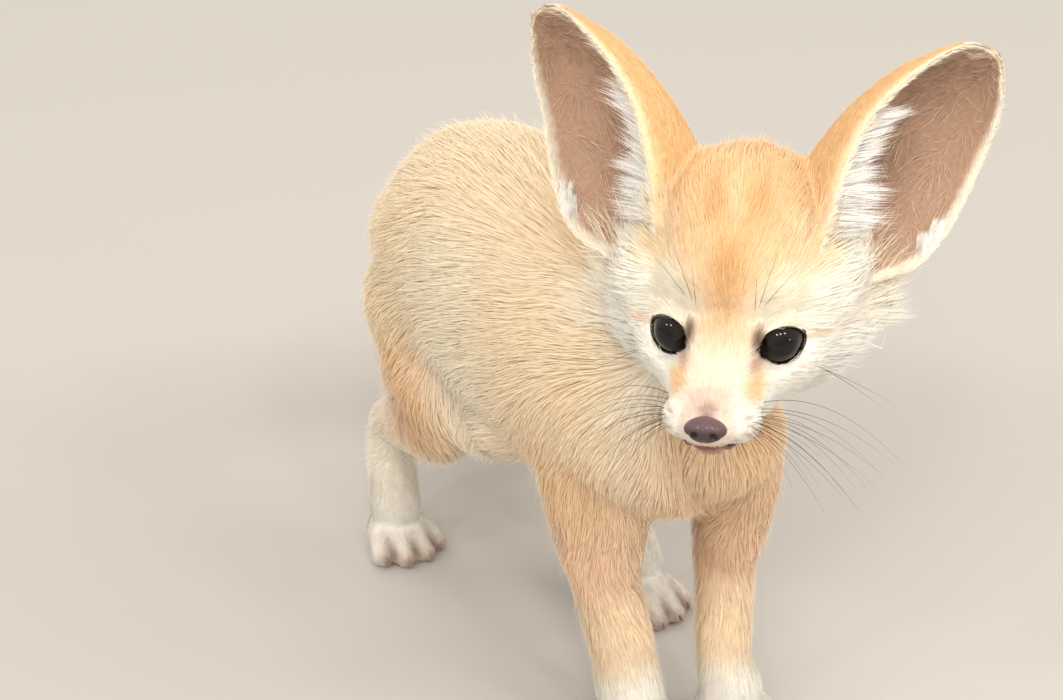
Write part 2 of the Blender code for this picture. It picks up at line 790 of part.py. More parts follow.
def joint_cutters():
    found = [bowl(name, in_body(*c), [r * CM for r in radii]) for name, (c, radii) in BOWLS.items()]
    for centre, normal, radius in SLABS:
        found.append(slab("slab", in_body(*centre), Vector(normal).normalized(), radius * CM))
    return found


# Locks of longer coat: flat, tapered, with the root sunk in


def lock(root, along, outward, length, width, sink, lift):
    """A flat lock of coat, from a sunk root to a fine tip that bends back towards the body."""
    across = along.cross(outward).normalized()
    stations = ((-sink, 0.45, 0.8), (0.2, 0.8, 1.0), (0.58, 1.0, 0.7))
    bm = bmesh.new()
    rings = []
    for place, wide, thick in stations:
        rise = lift * math.sin(math.pi * max(0.0, place) * 0.8)
        centre = root + along * length * place + outward * length * rise
        half, deep = across * width / 2 * wide, outward * width * 0.14 * thick
        rings.append([bm.verts.new(centre + v) for v in (half, deep, -half, -deep)])
    tip = bm.verts.new(root + along * length + outward * length * lift * 0.45)
    for first, second in zip(rings, rings[1:]):
        for k in range(4):
            bm.faces.new((first[k], first[(k + 1) % 4], second[(k + 1) % 4], second[k]))
    for k in range(4):
        bm.faces.new((rings[-1][k], rings[-1][(k + 1) % 4], tip))
    bm.faces.new(rings[0])
    bmesh.ops.triangulate(bm, faces=bm.faces)
    return mesh_from("lock", bm)


RUFF_ROWS = [
    # Forward place and the angles round the cheek at which locks are rooted
    (-1.5, (-62, -44, -26)),
    (-2.1, (-71, -53, -35, -17)),
    (-2.8, (-62, -44, -26, -8)),
]
RUFF_FORWARD = {-1: 0.5, 1: 0.0}  # further forward on the right cheek, which the neck presses
RUFF_LOCK = (1.15, 0.75)  # length and width
RUFF_SPREAD = {-1: 0.30, 1: 0.17}  # how far a lock stands off the cheek, against its length


def ruff_locks(head):
    """Locks on both cheeks that point back and outwards."""
    tree = BVHTree.FromPolygons(
        [v.co for v in head.data.vertices], [p.vertices for p in head.data.polygons]
    )
    locks = []
    for side in (-1, 1):
        for forward, angles in RUFF_ROWS:
            for angle in angles:
                turn = math.radians(angle + random.uniform(-3, 3))
                ray = head_direction(side * math.cos(turn), 0, math.sin(turn))
                from_eye = forward + RUFF_FORWARD[side] + random.uniform(-0.12, 0.12)
                start = in_head(side * 0.5, from_eye, -0.3)
                place, normal, _, _ = tree.ray_cast(start + ray * 6 * CM, -ray)
                if place is None:
                    continue
                back = head_direction(side * 0.25, -1.0, 0.5 * math.sin(turn))
                flat = back - normal * back.dot(normal)
                along = (flat.normalized() + normal * RUFF_SPREAD[side]).normalized()
                reach = RUFF_LOCK[0] * random.uniform(0.88, 1.08) * CM
                locks.append(lock(place, along, normal, reach, RUFF_LOCK[1] * CM, 0.3, 0.06))
    return locks


# The tail: a slim core that carries a brush of locks to its dark tip

TAIL = [
    # Centre (left, back, up), radius of the core, reach of the brush, in centimetres
    ((0.38, 13.3, 9.7), 1.0, 1.2),
    ((0.95, 15.0, 8.9), 0.85, 1.3),
    ((2.3, 16.4, 6.6), 0.80, 1.5),
    ((3.9, 16.9, 4.0), 0.80, 1.75),
    ((5.6, 16.5, 2.5), 0.70, 1.60),
    ((7.2, 15.7, 1.9), 0.42, 1.15),
]
TAIL_RINGS = 8
TAIL_LOCKS = 5
TAIL_STEPS = 8  # rows of the curve for each station
TAIL_LOCK = (2.6, 1.3)  # length and width of a lock
TAIL_TIP = (2.2, 0.9)  # and of the last one
TAIL_CUT = (0.50, 3.0)  # how far down the tail it is parted, and the radius of the cut


def tail_rows():
    """Rows down the tail: centre, direction, core's radius, brush's reach, distance from the root."""
    stations = [[*in_body(*c), r * CM, reach * CM] for c, r, reach in TAIL]
    raw = smooth_row(stations, TAIL_STEPS)
    centres = [Vector(row[:3]) for row in raw]
    rows, gone = [], 0.0
    for i, centre in enumerate(centres):
        along = (centres[min(i + 1, len(raw) - 1)] - centres[max(i - 1, 0)]).normalized()
        gone += (centre - centres[i - 1]).length if i else 0.0
        rows.append((centre, along, raw[i][3], raw[i][4], gone))
    return rows


def out_from(row, turn, reach):
    """A point this far out from the tail's middle, at this turn round it."""
    centre, along = row[0], row[1]
    level = along.cross(Vector((0, 0, 1))).normalized()
    outward = Matrix.Rotation(turn, 3, along) @ level
    return centre + outward * reach, outward


def make_tail():
    """The core with its locks, in staggered rings from just behind the rump to the tip."""
    core = [(in_body(*c), r * CM, r * CM) for c, r, _ in TAIL]
    tail = tube("tail", core, sides=12, steps=2)
    rows = tail_rows()
    end, end_along, end_radius, end_reach, whole = rows[-1]
    locks = []
    for ring in range(TAIL_RINGS):
        start = rows[round((0.10 + 0.88 * ring / (TAIL_RINGS - 1)) * (len(rows) - 1))]
        for number in range(TAIL_LOCKS):
            turn = 2 * math.pi * (number + ring % 2 / 2) / TAIL_LOCKS + random.uniform(-0.12, 0.12)
            length = TAIL_LOCK[0] * random.uniform(0.9, 1.1) * CM
            goal = start[4] + length
            if goal < whole:
                ahead = min(rows, key=lambda row: abs(row[4] - goal))
            else:
                narrowed = end_reach * max(0.35, 1.0 - (goal - whole) / length * 0.55)
                ahead = (end + end_along * (goal - whole), end_along, end_radius, narrowed, goal)
            root, outward = out_from(start, turn, start[2] * 0.8)
            tip, _ = out_from(ahead, turn, ahead[3])
            heading = (tip - root).normalized()
            locks.append(lock(root, heading, outward, length, TAIL_LOCK[1] * CM, 0.12, 0.03))
    length, width = (value * CM for value in TAIL_TIP)
    locks.append(lock(end, end_along, end_along.orthogonal().normalized(), length, width, 0.3, 0.0))
    combined(tail, locks, "UNION")
    return largest(tail)


def part_tail(tail):
    """Parts the tail across its bend, into the length from the rump and the length to the tip."""
    rows = tail_rows()
    share, radius = TAIL_CUT
    centre, along = rows[round(share * (len(rows) - 1))][:2]
    combined(tail, [slab("tail_cut", centre, along, radius * CM)], "DIFFERENCE")
    parted(tail, {"tail_base": in_body(*TAIL[1][0]), "tail_end": in_body(*TAIL[4][0])})
    bpy.data.objects.remove(tail)


def assemble():
    """Makes every piece, each in its own node."""
    flesh = make_flesh()
    for cutter in face_cutters() + joint_cutters():
        combined(flesh, [cutter], "DIFFERENCE")
    pieces = parted(flesh, {name: in_body(*place) for name, place in NAMES.items()})
    bpy.data.objects.remove(flesh)
    for name, piece in pieces.items():
        if "paw" in name:
            leg = LEGS[("hind_" if "hind" in name else "fore_") + name.split("_")[-1]]
            combined(piece, [claw(leg, number) for number in range(4)], "UNION")
    head = pieces["head"]
    combined(head, ruff_locks(head), "UNION")
    for near in ("neck", "torso"):
        combined(largest(head), [grown(pieces[near], GAP)], "DIFFERENCE")
    largest(head)
    for side, word in ((-1, "right"), (1, "left")):
        eye_ball("eye_" + word, side, EYE_RADIUS, fox)
        ear = make_ear("ear_" + word, side)
        for near in (head, pieces["neck"]):
            combined(ear, [grown(near, GAP)], "DIFFERENCE", "MANIFOLD")
            largest(ear)
    make_nose()
    tail = make_tail()
    combined(tail, [grown(pieces["torso"], GAP)], "DIFFERENCE")
    part_tail(largest(tail))


FINISHES = {
    "head": GOLD,
    "neck": SAND,
    "ear": GOLD,
    "lower_jaw": CREAM,
    "nose": NOSE,
    "eye": EYE,
    "lower_foreleg": CREAM,
    "forepaw": CREAM,
    "shank": CREAM,
    "hind_paw": CREAM,
}


def finish():
    """Gives each node its material and puts the origin on the floor under the middle."""
    corners = [v.co for obj in fox.objects for v in obj.data.vertices]
    low = Vector([min(c[i] for c in corners) for i in range(3)])
    high = Vector([max(c[i] for c in corners) for i in range(3)])
    shift = Vector((-(low.x + high.x) / 2, -(low.y + high.y) / 2, -low.z))
    for obj in fox.objects:
        obj.data.transform(Matrix.Translation(shift))
        obj.data.materials.clear()
        kind = next((k for k in FINISHES if obj.name.startswith(k)), None)
        obj.data.materials.append(FINISHES.get(kind, SAND))
        obj.data.polygons.foreach_set("material_index", [0] * len(obj.data.polygons))
        obj.data.shade_smooth()
        obj.data.set_sharp_from_angle(angle=math.radians(35))
    dropped(helpers.objects)
    return shift


assemble()
SHIFT = finish()
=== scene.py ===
"""A fennec fox kit, life size: hide, coat, eyes, nose, whiskers and claws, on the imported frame."""

import json
import math

import bmesh
import bpy
import numpy as np
from mathutils import Matrix, Vector
from mathutils.bvhtree import BVHTree
from mathutils.kdtree import KDTree

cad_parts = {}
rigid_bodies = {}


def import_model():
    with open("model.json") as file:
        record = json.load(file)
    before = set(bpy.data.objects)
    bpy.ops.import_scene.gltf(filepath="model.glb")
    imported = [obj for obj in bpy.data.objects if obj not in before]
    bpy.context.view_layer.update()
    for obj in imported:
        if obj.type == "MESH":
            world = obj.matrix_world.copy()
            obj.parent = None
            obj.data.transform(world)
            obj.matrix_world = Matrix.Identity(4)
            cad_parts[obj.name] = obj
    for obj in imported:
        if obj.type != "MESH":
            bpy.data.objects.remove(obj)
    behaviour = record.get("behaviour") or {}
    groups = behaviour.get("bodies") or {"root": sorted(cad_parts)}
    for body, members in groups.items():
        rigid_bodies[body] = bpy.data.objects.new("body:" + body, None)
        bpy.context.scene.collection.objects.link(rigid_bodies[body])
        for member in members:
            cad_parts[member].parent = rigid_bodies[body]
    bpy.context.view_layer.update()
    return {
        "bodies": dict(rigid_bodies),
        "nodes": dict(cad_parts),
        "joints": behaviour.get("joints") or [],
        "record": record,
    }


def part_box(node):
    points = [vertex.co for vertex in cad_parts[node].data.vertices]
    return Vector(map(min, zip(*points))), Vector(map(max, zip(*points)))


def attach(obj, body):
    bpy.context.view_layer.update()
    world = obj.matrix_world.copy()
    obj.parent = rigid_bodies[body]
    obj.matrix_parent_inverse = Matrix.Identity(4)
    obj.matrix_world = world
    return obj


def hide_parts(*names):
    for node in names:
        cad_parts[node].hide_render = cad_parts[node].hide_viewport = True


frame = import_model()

bpy.ops.object.select_all(action="DESELECT")

# The hide: one closed skin over head, ears, body, legs and the tail's core, as a tanned pelt
# lies on a mannequin. Its forms are the animal's own, in centimetres, drawn in by the depth of
# the coat, and the lids are cut open over the eyes.

CM = 0.01
MM = 0.001
HEAD_TURN = math.radians(45.0)
HEAD_NOD = math.radians(-8.5)
HEAD_TILT = math.radians(0.6)
EYE_SETBACK = 0.55  # the eyes' centres lie this far behind the head's own origin
HEAD_PLACE = Vector((-0.63, -2.31, 13.5))  # that origin: left, behind the front toes, up
FINE = 0.6  # the skin's mesh, in millimetres


def middle(node):
    low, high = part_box(node)
    return (low + high) / 2


def head_frame():
    """Head axes to the frame: x to its left, y forward, z up, in centimetres."""
    turn = Matrix.Rotation(math.pi - HEAD_TURN, 4, "Z")
    nod = Matrix.Rotation(-HEAD_NOD, 4, "X")
    tilt = Matrix.Rotation(HEAD_TILT, 4, "Y")
    flip = Matrix.Diagonal((-1, 1, 1, 1))
    eyes = (middle("eye_left") + middle("eye_right")) / 2
    scale = Matrix.Scale(CM, 4) @ Matrix.Translation((0, EYE_SETBACK, 0))
    return Matrix.Translation(eyes) @ turn @ nod @ tilt @ flip @ scale


HEAD = head_frame()
HEAD_ARRAY = np.array(HEAD)
HEAD_INVERSE = np.array(HEAD.inverted())
BODY_ORIGIN = HEAD @ Vector((0, 0, 0)) - HEAD_PLACE * CM


def in_head(left, forward, up):
    return HEAD @ Vector((left, forward, up))


def head_direction(left, forward, up):
    return (HEAD.to_3x3() @ Vector((left, forward, up))).normalized()


def in_body(left, back, up):
    return BODY_ORIGIN + Vector((left, back, up)) * CM


def from_head(places):
    return places @ HEAD_ARRAY[:3, :3].T + HEAD_ARRAY[:3, 3]


def head_places(points):
    return points @ HEAD_INVERSE[:3, :3].T + HEAD_INVERSE[:3, 3]


def body_places(points):
    return (points - np.array(BODY_ORIGIN)) / CM


def unit(vectors):
    return vectors / np.maximum(np.linalg.norm(vectors, axis=-1, keepdims=True), 1e-12)


def smooth_row(values, steps):
    """Values at even steps along a Catmull-Rom curve through the given ones."""
    rows = np.array(values, float)
    padded = np.vstack([2 * rows[0] - rows[1], rows, 2 * rows[-1] - rows[-2]])
    found = []
    for i in range(len(rows) - 1):
        p0, p1, p2, p3 = padded[i : i + 4]
        for t in np.arange(steps) / steps:
            a = 2 * p1 + (p2 - p0) * t
            b = (2 * p0 - 5 * p1 + 4 * p2 - p3) * t**2
            c = (3 * p1 - p0 - 3 * p2 + p3) * t**3
            found.append((a + b + c) / 2)
    return np.array(found + [rows[-1]])


def placed(name, mesh):
    made = bpy.data.objects.new(name, mesh)
    bpy.context.scene.collection.objects.link(made)
    return made


def mesh_object(name, bm):
    mesh = bpy.data.meshes.new(name)
    bm.to_mesh(mesh)
    bm.free()
    return placed(name, mesh)


def closed_mesh(name, bm):
    """An object of a closed mesh, with its faces turned outwards."""
    bmesh.ops.recalc_face_normals(bm, faces=bm.faces)
    if bm.calc_volume(signed=True) < 0:
        bmesh.ops.reverse_faces(bm, faces=bm.faces)
    return mesh_object(name, bm)


def bridge(bm, first, second):
    """Faces between two rings of as many vertices."""
    count = len(first)
    for k in range(count):
        n = (k + 1) % count
        bm.faces.new((first[k], first[n], second[n], second[k]))


def reworked(piece, operator):
    """The piece after one mesh operator has run over all its faces."""
    bm = bmesh.new()
    bm.from_mesh(piece.data)
    operator(bm, faces=bm.faces)
    bm.to_mesh(piece.data)
    bm.free()
    return piece


ROUND_END = (18, 35, 50, 65, 80)  # degrees of the rings that close a tube's end


def tube(name, stations, side=Vector((1, 0, 0)), sides=32):
    """A closed tube with round ends through stations of (centre, half width, half depth)."""
    rows = smooth_row([[*c, w, d] for c, w, d in stations], 8)
    centres = [Vector(r[:3]) for r in rows]
    frames = []
    for i, centre in enumerate(centres):
        along = (centres[min(i + 1, len(rows) - 1)] - centres[max(i - 1, 0)]).normalized()
        across = (side - along * side.dot(along)).normalized()
        frames.append((centre, along, across, along.cross(across), rows[i][3], rows[i][4]))
    turns = [(math.sin(math.radians(turn)), math.cos(math.radians(turn))) for turn in ROUND_END]
    rings = [(frames[0], -push, share) for push, share in reversed(turns)]
    rings += [(frame, 0.0, 1.0) for frame in frames]
    rings += [(frames[-1], push, share) for push, share in turns]
    bm = bmesh.new()
    loops = []
    for (centre, along, across, deep, width, depth), push, share in rings:
        start = centre + along * push * (width + depth) / 2
        loop = []
        for k in range(sides):
            angle = 2 * math.pi * k / sides
            reach = across * width * math.cos(angle) + deep * depth * math.sin(angle)
            loop.append(bm.verts.new(start + reach * share))
        loops.append(loop)
    for first, second in zip(loops, loops[1:]):
        bridge(bm, first, second)
    for loop in (loops[0], loops[-1]):
        bm.faces.new(loop)
    return closed_mesh(name, bm)


def list_faces(mesh):
    """Lists the faces by their points, as a new sphere's come in another order at each run."""
    points = [tuple(vertex.co) for vertex in mesh.vertices]
    faces = sorted((tuple(face.vertices) for face in mesh.polygons), key=sorted)
    mesh.clear_geometry()
    mesh.from_pydata(points, [], faces)


def ball(name, shape, segments=40):
    """A unit sphere set by a matrix."""
    bpy.ops.mesh.primitive_uv_sphere_add(segments=segments, ring_count=segments // 2, radius=1.0)
    made = bpy.context.object
    made.name = name
    list_faces(made.data)
    made.data.transform(shape)
    made.select_set(False)
    return made


def head_ball(name, centre, radii, segments=40):
    return ball(name, HEAD @ Matrix.Translation(centre) @ Matrix.Diagonal((*radii, 1)), segments)


def body_ball(name, centre, radii, segments=40):
    radii = Matrix.Diagonal((*[r * CM for r in radii], 1))
    return ball(name, Matrix.Translation(in_body(*centre)) @ radii, segments)


def head_tube(name, stations, sides=32):
    rows = [(in_head(*c), w * CM, d * CM) for c, w, d in stations]
    return tube(name, rows, side=head_direction(1, 0, 0), sides=sides)


def body_tube(name, stations, sides=32):
    return tube(name, [(in_body(*c), w * CM, d * CM) for c, w, d in stations], sides=sides)


FACE_WEDGE = [
    # Centre (left, forward, up), half width and half depth, from the cheeks to the muzzle's end
    ((0, -3.4, -0.25), 2.9, 2.0),
    ((0, -2.3, -0.30), 3.3, 2.15),
    ((0, -1.2, -0.45), 2.95, 1.9),
    ((0, -0.3, -0.68), 2.15, 1.42),
    ((0, 0.6, -0.98), 1.45, 0.98),
    ((0, 1.4, -1.24), 1.10, 0.74),
    ((0, 2.1, -1.40), 0.80, 0.58),
]
JAW_FORM = [
    ((0, -2.2, -1.75), 1.7, 1.0),
    ((0, -0.4, -2.02), 1.0, 0.62),
    ((0, 1.0, -2.12), 0.66, 0.42),
    ((0, 1.76, -2.06), 0.42, 0.28),
]
SKULL = [
    ((0, -2.9, 1.35), (2.8, 2.75, 2.85)),
    ((0, -2.95, 2.85), (2.15, 1.8, 1.4)),
    ((0, -1.5, 1.15), (2.25, 1.85, 1.8)),
    ((0, -0.12, 0.15), (0.8, 0.70, 0.62)),
    ((3.1, -2.6, 0.35), (0.7, 0.75, 1.0)),
]
HEAD_PAIRS = [
    # Brow, whisker pad, temple, root and foot of the ear, fur before the ear's foot
    ((1.2, -0.95, 0.72), (0.8, 0.6, 0.42)),
    ((0.68, 1.65, -1.44), (0.55, 0.75, 0.52)),
    ((2.2, -2.0, 0.9), (1.1, 1.4, 1.3)),
    ((2.45, -3.15, 1.45), (0.98, 1.1, 1.0)),
    ((2.65, -3.0, 0.6), (0.92, 1.25, 1.1)),
    ((2.65, -2.5, 0.6), (1.1, 0.8, 1.35)),
]
MOUTH_LINE = [(0.50, 2.02, -1.93), (0.78, 1.25, -1.92), (1.0, 0.5, -1.80), (1.2, -0.1, -1.62)]
EYE_RADIUS = 0.74
EYE_CENTRE = (1.17, -0.55, 0.0)
EYE_OUTWARD = math.radians(28.0)
EYE_OPENING = (0.69, 0.55)
EYE_CORNER = 0.16
EYE_TILT = math.radians(9.0)
LID_THICKNESS = 0.10
TORSO = [
    # Centre (left, back, up), half width and half height
    ((0.40, 13.35, 9.0), 1.75, 2.1),
    ((0.45, 12.3, 9.2), 2.6, 3.15),
    ((0.45, 10.0, 9.75), 3.25, 4.15),
    ((0.50, 6.8, 9.6), 3.45, 4.2),
    ((0.55, 3.4, 9.15), 3.25, 3.75),
    ((1.0, 1.45, 8.5), 2.95, 2.6),
    ((1.32, 0.75, 8.55), 1.9, 1.75),
]
NECK = [
    ((0.6, 4.2, 10.2), 2.6, 2.9),
    ((1.2, 2.2, 11.2), 2.5, 2.6),
    ((1.7, 0.7, 12.5), 2.3, 2.3),
]
BODY_PADS = [
    # Breast, throat, between the forelegs, and behind each thigh: centre and radii
    ((1.1, 1.4, 10.1), (2.3, 1.8, 2.3)),
    ((1.5, 0.55, 11.3), (1.9, 1.65, 1.8)),
    ((0.9, 1.5, 7.3), (1.5, 1.1, 1.1)),
    ((-1.6, 11.4, 6.1), (0.75, 1.3, 1.2)),
    ((2.75, 8.2, 5.9), (0.75, 1.2, 1.1)),
]
SKIN_FOLDS = [
    # Loose skin between belly and thigh, and down the front of each shoulder
    [((-1.6, 5.6, 7.1), 0.8, 0.9), ((-1.9, 7.4, 6.7), 0.8, 0.9), ((-2.0, 8.8, 6.3), 0.7, 0.8)],
    [((2.8, 4.0, 7.1), 0.8, 0.9), ((2.9, 5.5, 6.7), 0.8, 0.9), ((2.9, 6.8, 6.3), 0.7, 0.8)],
    [((-0.4, 1.9, 8.4), 1.4, 1.5), ((-0.95, 2.1, 6.6), 1.15, 1.3), ((-1.2, 2.0, 4.8), 0.95, 0.98)],
    [((2.1, 0.9, 8.4), 1.4, 1.5), ((2.4, 1.05, 6.6), 1.15, 1.3), ((2.2, 1.05, 4.8), 0.9, 0.95)],
]
TAIL = [
    # Centre (left, back, up), radius of the core, reach of the brush
    ((0.38, 13.3, 9.7), 1.0, 1.2),
    ((0.95, 15.0, 8.9), 0.85, 1.3),
    ((2.3, 16.4, 6.6), 0.80, 1.5),
    ((3.9, 16.9, 4.0), 0.80, 1.75),
    ((5.6, 16.5, 2.5), 0.70, 1.60),
    ((7.2, 15.7, 1.9), 0.42, 1.15),
]
LEGS = {
    # Joints down each leg: centre, half width, half depth; where the toes are; their splay
    "fore_right": (
        [
            ((-1.2, 3.4, 8.6), 1.3, 1.8),
            ((-1.55, 2.9, 6.5), 1.0, 1.2),
            ((-1.22, 1.95, 4.0), 0.98, 0.98),
            ((-1.12, 1.25, 2.1), 0.92, 0.90),
            ((-1.12, 0.85, 1.0), 0.95, 0.92),
        ],
        (-1.12, 0.15),
        -3.0,
    ),
    "fore_left": (
        [
            ((2.8, 2.2, 8.2), 1.35, 1.8),
            ((2.65, 1.9, 6.4), 1.02, 1.2),
            ((2.0, 1.0, 3.6), 0.88, 0.92),
            ((1.42, 0.15, 2.0), 0.78, 0.80),
            ((1.35, -0.3, 1.0), 0.86, 0.88),
        ],
        (1.3, -1.1),
        3.0,
    ),
    "hind_right": (
        [
            ((-1.0, 11.3, 8.6), 1.8, 2.5),
            ((-1.9, 9.2, 6.4), 1.25, 1.7),
            ((-1.75, 11.0, 4.9), 0.90, 1.1),
            ((-1.45, 12.70, 3.75), 0.66, 0.68),
            ((-1.62, 12.30, 1.3), 0.76, 0.80),
        ],
        (-1.72, 11.35),
        -4.0,
    ),
    "hind_left": (
        [
            ((2.1, 10.4, 8.6), 1.8, 2.5),
            ((2.85, 7.2, 6.3), 1.25, 1.7),
            ((2.85, 7.4, 4.7), 0.90, 1.1),
            ((2.75, 7.85, 3.5), 0.66, 0.68),
            ((2.6, 6.1, 1.25), 0.76, 0.80),
        ],
        (2.5, 4.75),
        4.0,
    ),
}
PAW_LENGTH = 1.5
TOE_SPREAD = (-0.78, -0.28, 0.28, 0.78)
TOE_REACH = (0.0, 0.36, 0.36, 0.0)
TOE_RADIUS = 0.39
TOE_ROOT_RISE = Vector((0, 0, 0.62))
TOE_TIP_RISE = Vector((0, 0, 0.24))
KNUCKLE_RISE = Vector((0, 0, 0.16))
# Height above the floor, half width, half length and half height of the foot's two pads
INSTEP = ((0.24, 0.84, 0.88, 0.42), (0.66, 0.74, 0.80, 0.55))
FLOOR_CLEARANCE = 0.05 * MM


def toe_lines(leg):
    """Root, tip and heading of each toe: the two middle toes reach further forward."""
    (left, back), splay = leg[1], leg[2]
    heading = Matrix.Rotation(math.radians(splay), 3, "Z") @ Vector((0, -1, 0))
    across = Vector((-heading.y, heading.x, 0))
    centre = Vector((left, back, 0))
    found = []
    for spread, reach in zip(TOE_SPREAD, TOE_REACH):
        sideways = across * spread
        tip = centre + sideways * 1.12 + heading * (reach - 0.1)
        root = centre + sideways * 0.5 - heading * PAW_LENGTH * 0.75
        found.append((root + TOE_ROOT_RISE, tip + TOE_TIP_RISE, heading))
    return found


def head_forms():
    forms = [head_ball("skull", centre, radii) for centre, radii in SKULL]
    forms.append(head_tube("face", FACE_WEDGE, sides=48))
    forms.append(head_tube("jaw", JAW_FORM))
    lid = EYE_RADIUS + LID_THICKNESS
    for side in (-1, 1):
        for (left, forward, up), radii in HEAD_PAIRS:
            forms.append(head_ball("head_pair", (side * left, forward, up), radii))
        left, forward, up = EYE_CENTRE
        forms.append(head_ball("lids", (side * left, forward, up), (lid, lid, lid)))
        line = [((side * a, b, c), 0.12, 0.12) for a, b, c in MOUTH_LINE]
        forms.append(head_tube("lip", line, sides=12))
    return forms


def body_forms():
    forms = [body_tube("torso", TORSO, 48), body_tube("neck", NECK, 40)]
    forms.append(body_tube("tail_core", [(c, r * 0.8, r * 0.8) for c, r, _ in TAIL]))
    forms += [body_tube("fold", fold) for fold in SKIN_FOLDS]
    for centre, radii in BODY_PADS:
        forms.append(body_ball("body_pad", centre, radii))
    for leg in LEGS.values():
        forms.append(body_tube("limb", leg[0]))
        for root, tip, _ in toe_lines(leg):
            knuckle = root.lerp(tip, 0.55) + KNUCKLE_RISE
            widths = (TOE_RADIUS * 1.05, TOE_RADIUS, TOE_RADIUS * 0.86)
            line = [(tuple(p), w, w) for p, w in zip((root, knuckle, tip), widths)]
            forms.append(body_tube("toe", line, 20))
        left, back = leg[1]
        for rise, *radii in INSTEP:
            forms.append(body_ball("instep", (left, back + PAW_LENGTH / 2, rise), radii, 24))
    return forms


EAR_THICKNESS = 0.11
EAR_OPENS = np.array((0.63, 0.73, -0.25)) / np.linalg.norm((0.63, 0.73, -0.25))
EAR_STATIONS = [
    # Inner edge, outer edge (left, forward, up), depth of the cup, how far the edges roll in
    ((1.70, -2.2, 1.3), (2.5, -2.6, 0.7), 1.35, 24.0),
    ((1.60, -2.0, 1.9), (3.1, -2.7, 1.25), 1.8, 22.0),
    ((1.85, -1.95, 3.1), (4.2, -3.05, 1.75), 2.15, 16.0),
    ((2.30, -1.85, 4.3), (5.05, -3.8, 2.7), 2.1, 8.0),
    ((2.85, -1.90, 5.4), (5.6, -4.4, 3.9), 1.75, 2.0),
    ((3.60, -2.15, 6.4), (5.95, -4.5, 5.15), 1.25, 0.0),
    ((4.35, -2.50, 7.05), (5.95, -4.1, 6.2), 0.65, 0.0),
    ((4.80, -2.82, 7.30), (5.87, -3.77, 6.79), 0.28, 0.0),
    ((5.10, -3.05, 7.37), (5.67, -3.53, 7.09), 0.09, 0.0),
]
EAR_ROWS = smooth_row([[*a, *b, depth, roll] for a, b, depth, roll in EAR_STATIONS], 6)
EAR_COLUMNS = 48
EAR_HINGE = np.array((2.9, -2.6, 1.8))
EAR_DROOP = {-1: 0.0, 1: math.radians(3.0)}


def ear_surface(side, up, across):
    """Points midway in the ear's wall, for arrays of places up and across it (0 to 1)."""
    at = np.clip(up, 0, 1) * (len(EAR_ROWS) - 1)
    low = np.minimum(at.astype(int), len(EAR_ROWS) - 2)
    row = EAR_ROWS[low] + (EAR_ROWS[low + 1] - EAR_ROWS[low]) * (at - low)[:, None]
    inner, outer = row[:, :3], row[:, 3:6]
    roll = np.radians(row[:, 7])
    angle = -roll + (math.pi + 2 * roll) * across
    centre, half = (inner + outer) / 2, (outer - inner) / 2
    place = centre - half * np.cos(angle)[:, None]
    place -= EAR_OPENS * (row[:, 6] * np.sin(angle))[:, None]
    droop = np.array(Matrix.Rotation(EAR_DROOP[side], 3, "Y"))
    place = EAR_HINGE + (place - EAR_HINGE) @ droop.T
    place[:, 0] *= side
    return from_head(place)


def ear_tangents(side, up, across, step):
    """Vectors up the ear and across its wall."""
    rising = ear_surface(side, up + step, across) - ear_surface(side, up - step, across)
    sideways = ear_surface(side, up, across + step) - ear_surface(side, up, across - step)
    return rising, sideways


def ear_normals(side, up, across):
    """Unit vectors out of the hollow side of the ear's wall."""
    rising, sideways = ear_tangents(side, up, across, 0.004)
    return unit(np.cross(sideways, rising)) * side


def ear_shell(side):
    """The ear's thin cupped wall as a closed mesh."""
    ups = np.linspace(0, 1, len(EAR_ROWS))
    grid_up, grid_across = np.meshgrid(ups, np.linspace(0, 1, EAR_COLUMNS + 1), indexing="ij")
    flat_up, flat_across = grid_up.ravel(), grid_across.ravel()
    places = ear_surface(side, flat_up, flat_across)
    bm = bmesh.new()
    verts = [bm.verts.new(p) for p in places]
    wide = EAR_COLUMNS + 1
    for i in range(len(ups) - 1):
        for k in range(EAR_COLUMNS):
            a = i * wide + k
            bm.faces.new((verts[a], verts[a + 1], verts[a + wide + 1], verts[a + wide]))
    made = mesh_object("ear_shell", bm)
    wall = made.modifiers.new("wall", "SOLIDIFY")
    wall.thickness = EAR_THICKNESS * CM
    wall.offset = 0.0
    return reworked(applied(made), bmesh.ops.recalc_face_normals)


def applied(obj):
    """Gives the object the mesh that its modifiers make."""
    bpy.context.view_layer.update()
    graph = bpy.context.evaluated_depsgraph_get()
    mesh = bpy.data.meshes.new_from_object(obj.evaluated_get(graph))
    obj.modifiers.clear()
    obj.data = mesh
    return obj


def joined(name, pieces):
    bm = bmesh.new()
    for piece in pieces:
        bm.from_mesh(piece.data)
        bpy.data.objects.remove(piece)
    return mesh_object(name, bm)


def vertex_rows(mesh, what="co"):
    found = np.empty(len(mesh.vertices) * 3, np.float32)
    mesh.vertices.foreach_get(what, found)
    return found.reshape(-1, 3).astype(float)


def set_places(mesh, points):
    mesh.vertices.foreach_set("co", points.ravel().astype(np.float32))
    mesh.update()


def relaxed(mesh, points, share, times):
    """Points drawn towards the middle of their neighbours, each by its own share."""
    edges = np.empty(len(mesh.edges) * 2, np.int32)
    mesh.edges.foreach_get("vertices", edges)
    a, b = edges[0::2], edges[1::2]
    count = np.bincount(a, minlength=len(points)) + np.bincount(b, minlength=len(points))
    for _ in range(times):
        total = np.empty_like(points)
        for axis in range(3):
            total[:, axis] = np.bincount(a, points[b, axis], len(points))
            total[:, axis] += np.bincount(b, points[a, axis], len(points))
        points = points + (total / count[:, None] - points) * share[:, None]
    return points


def soft_step(value, low, high):
    t = np.clip((value - low) / (high - low), 0, 1)
    return t * t * (3 - 2 * t)


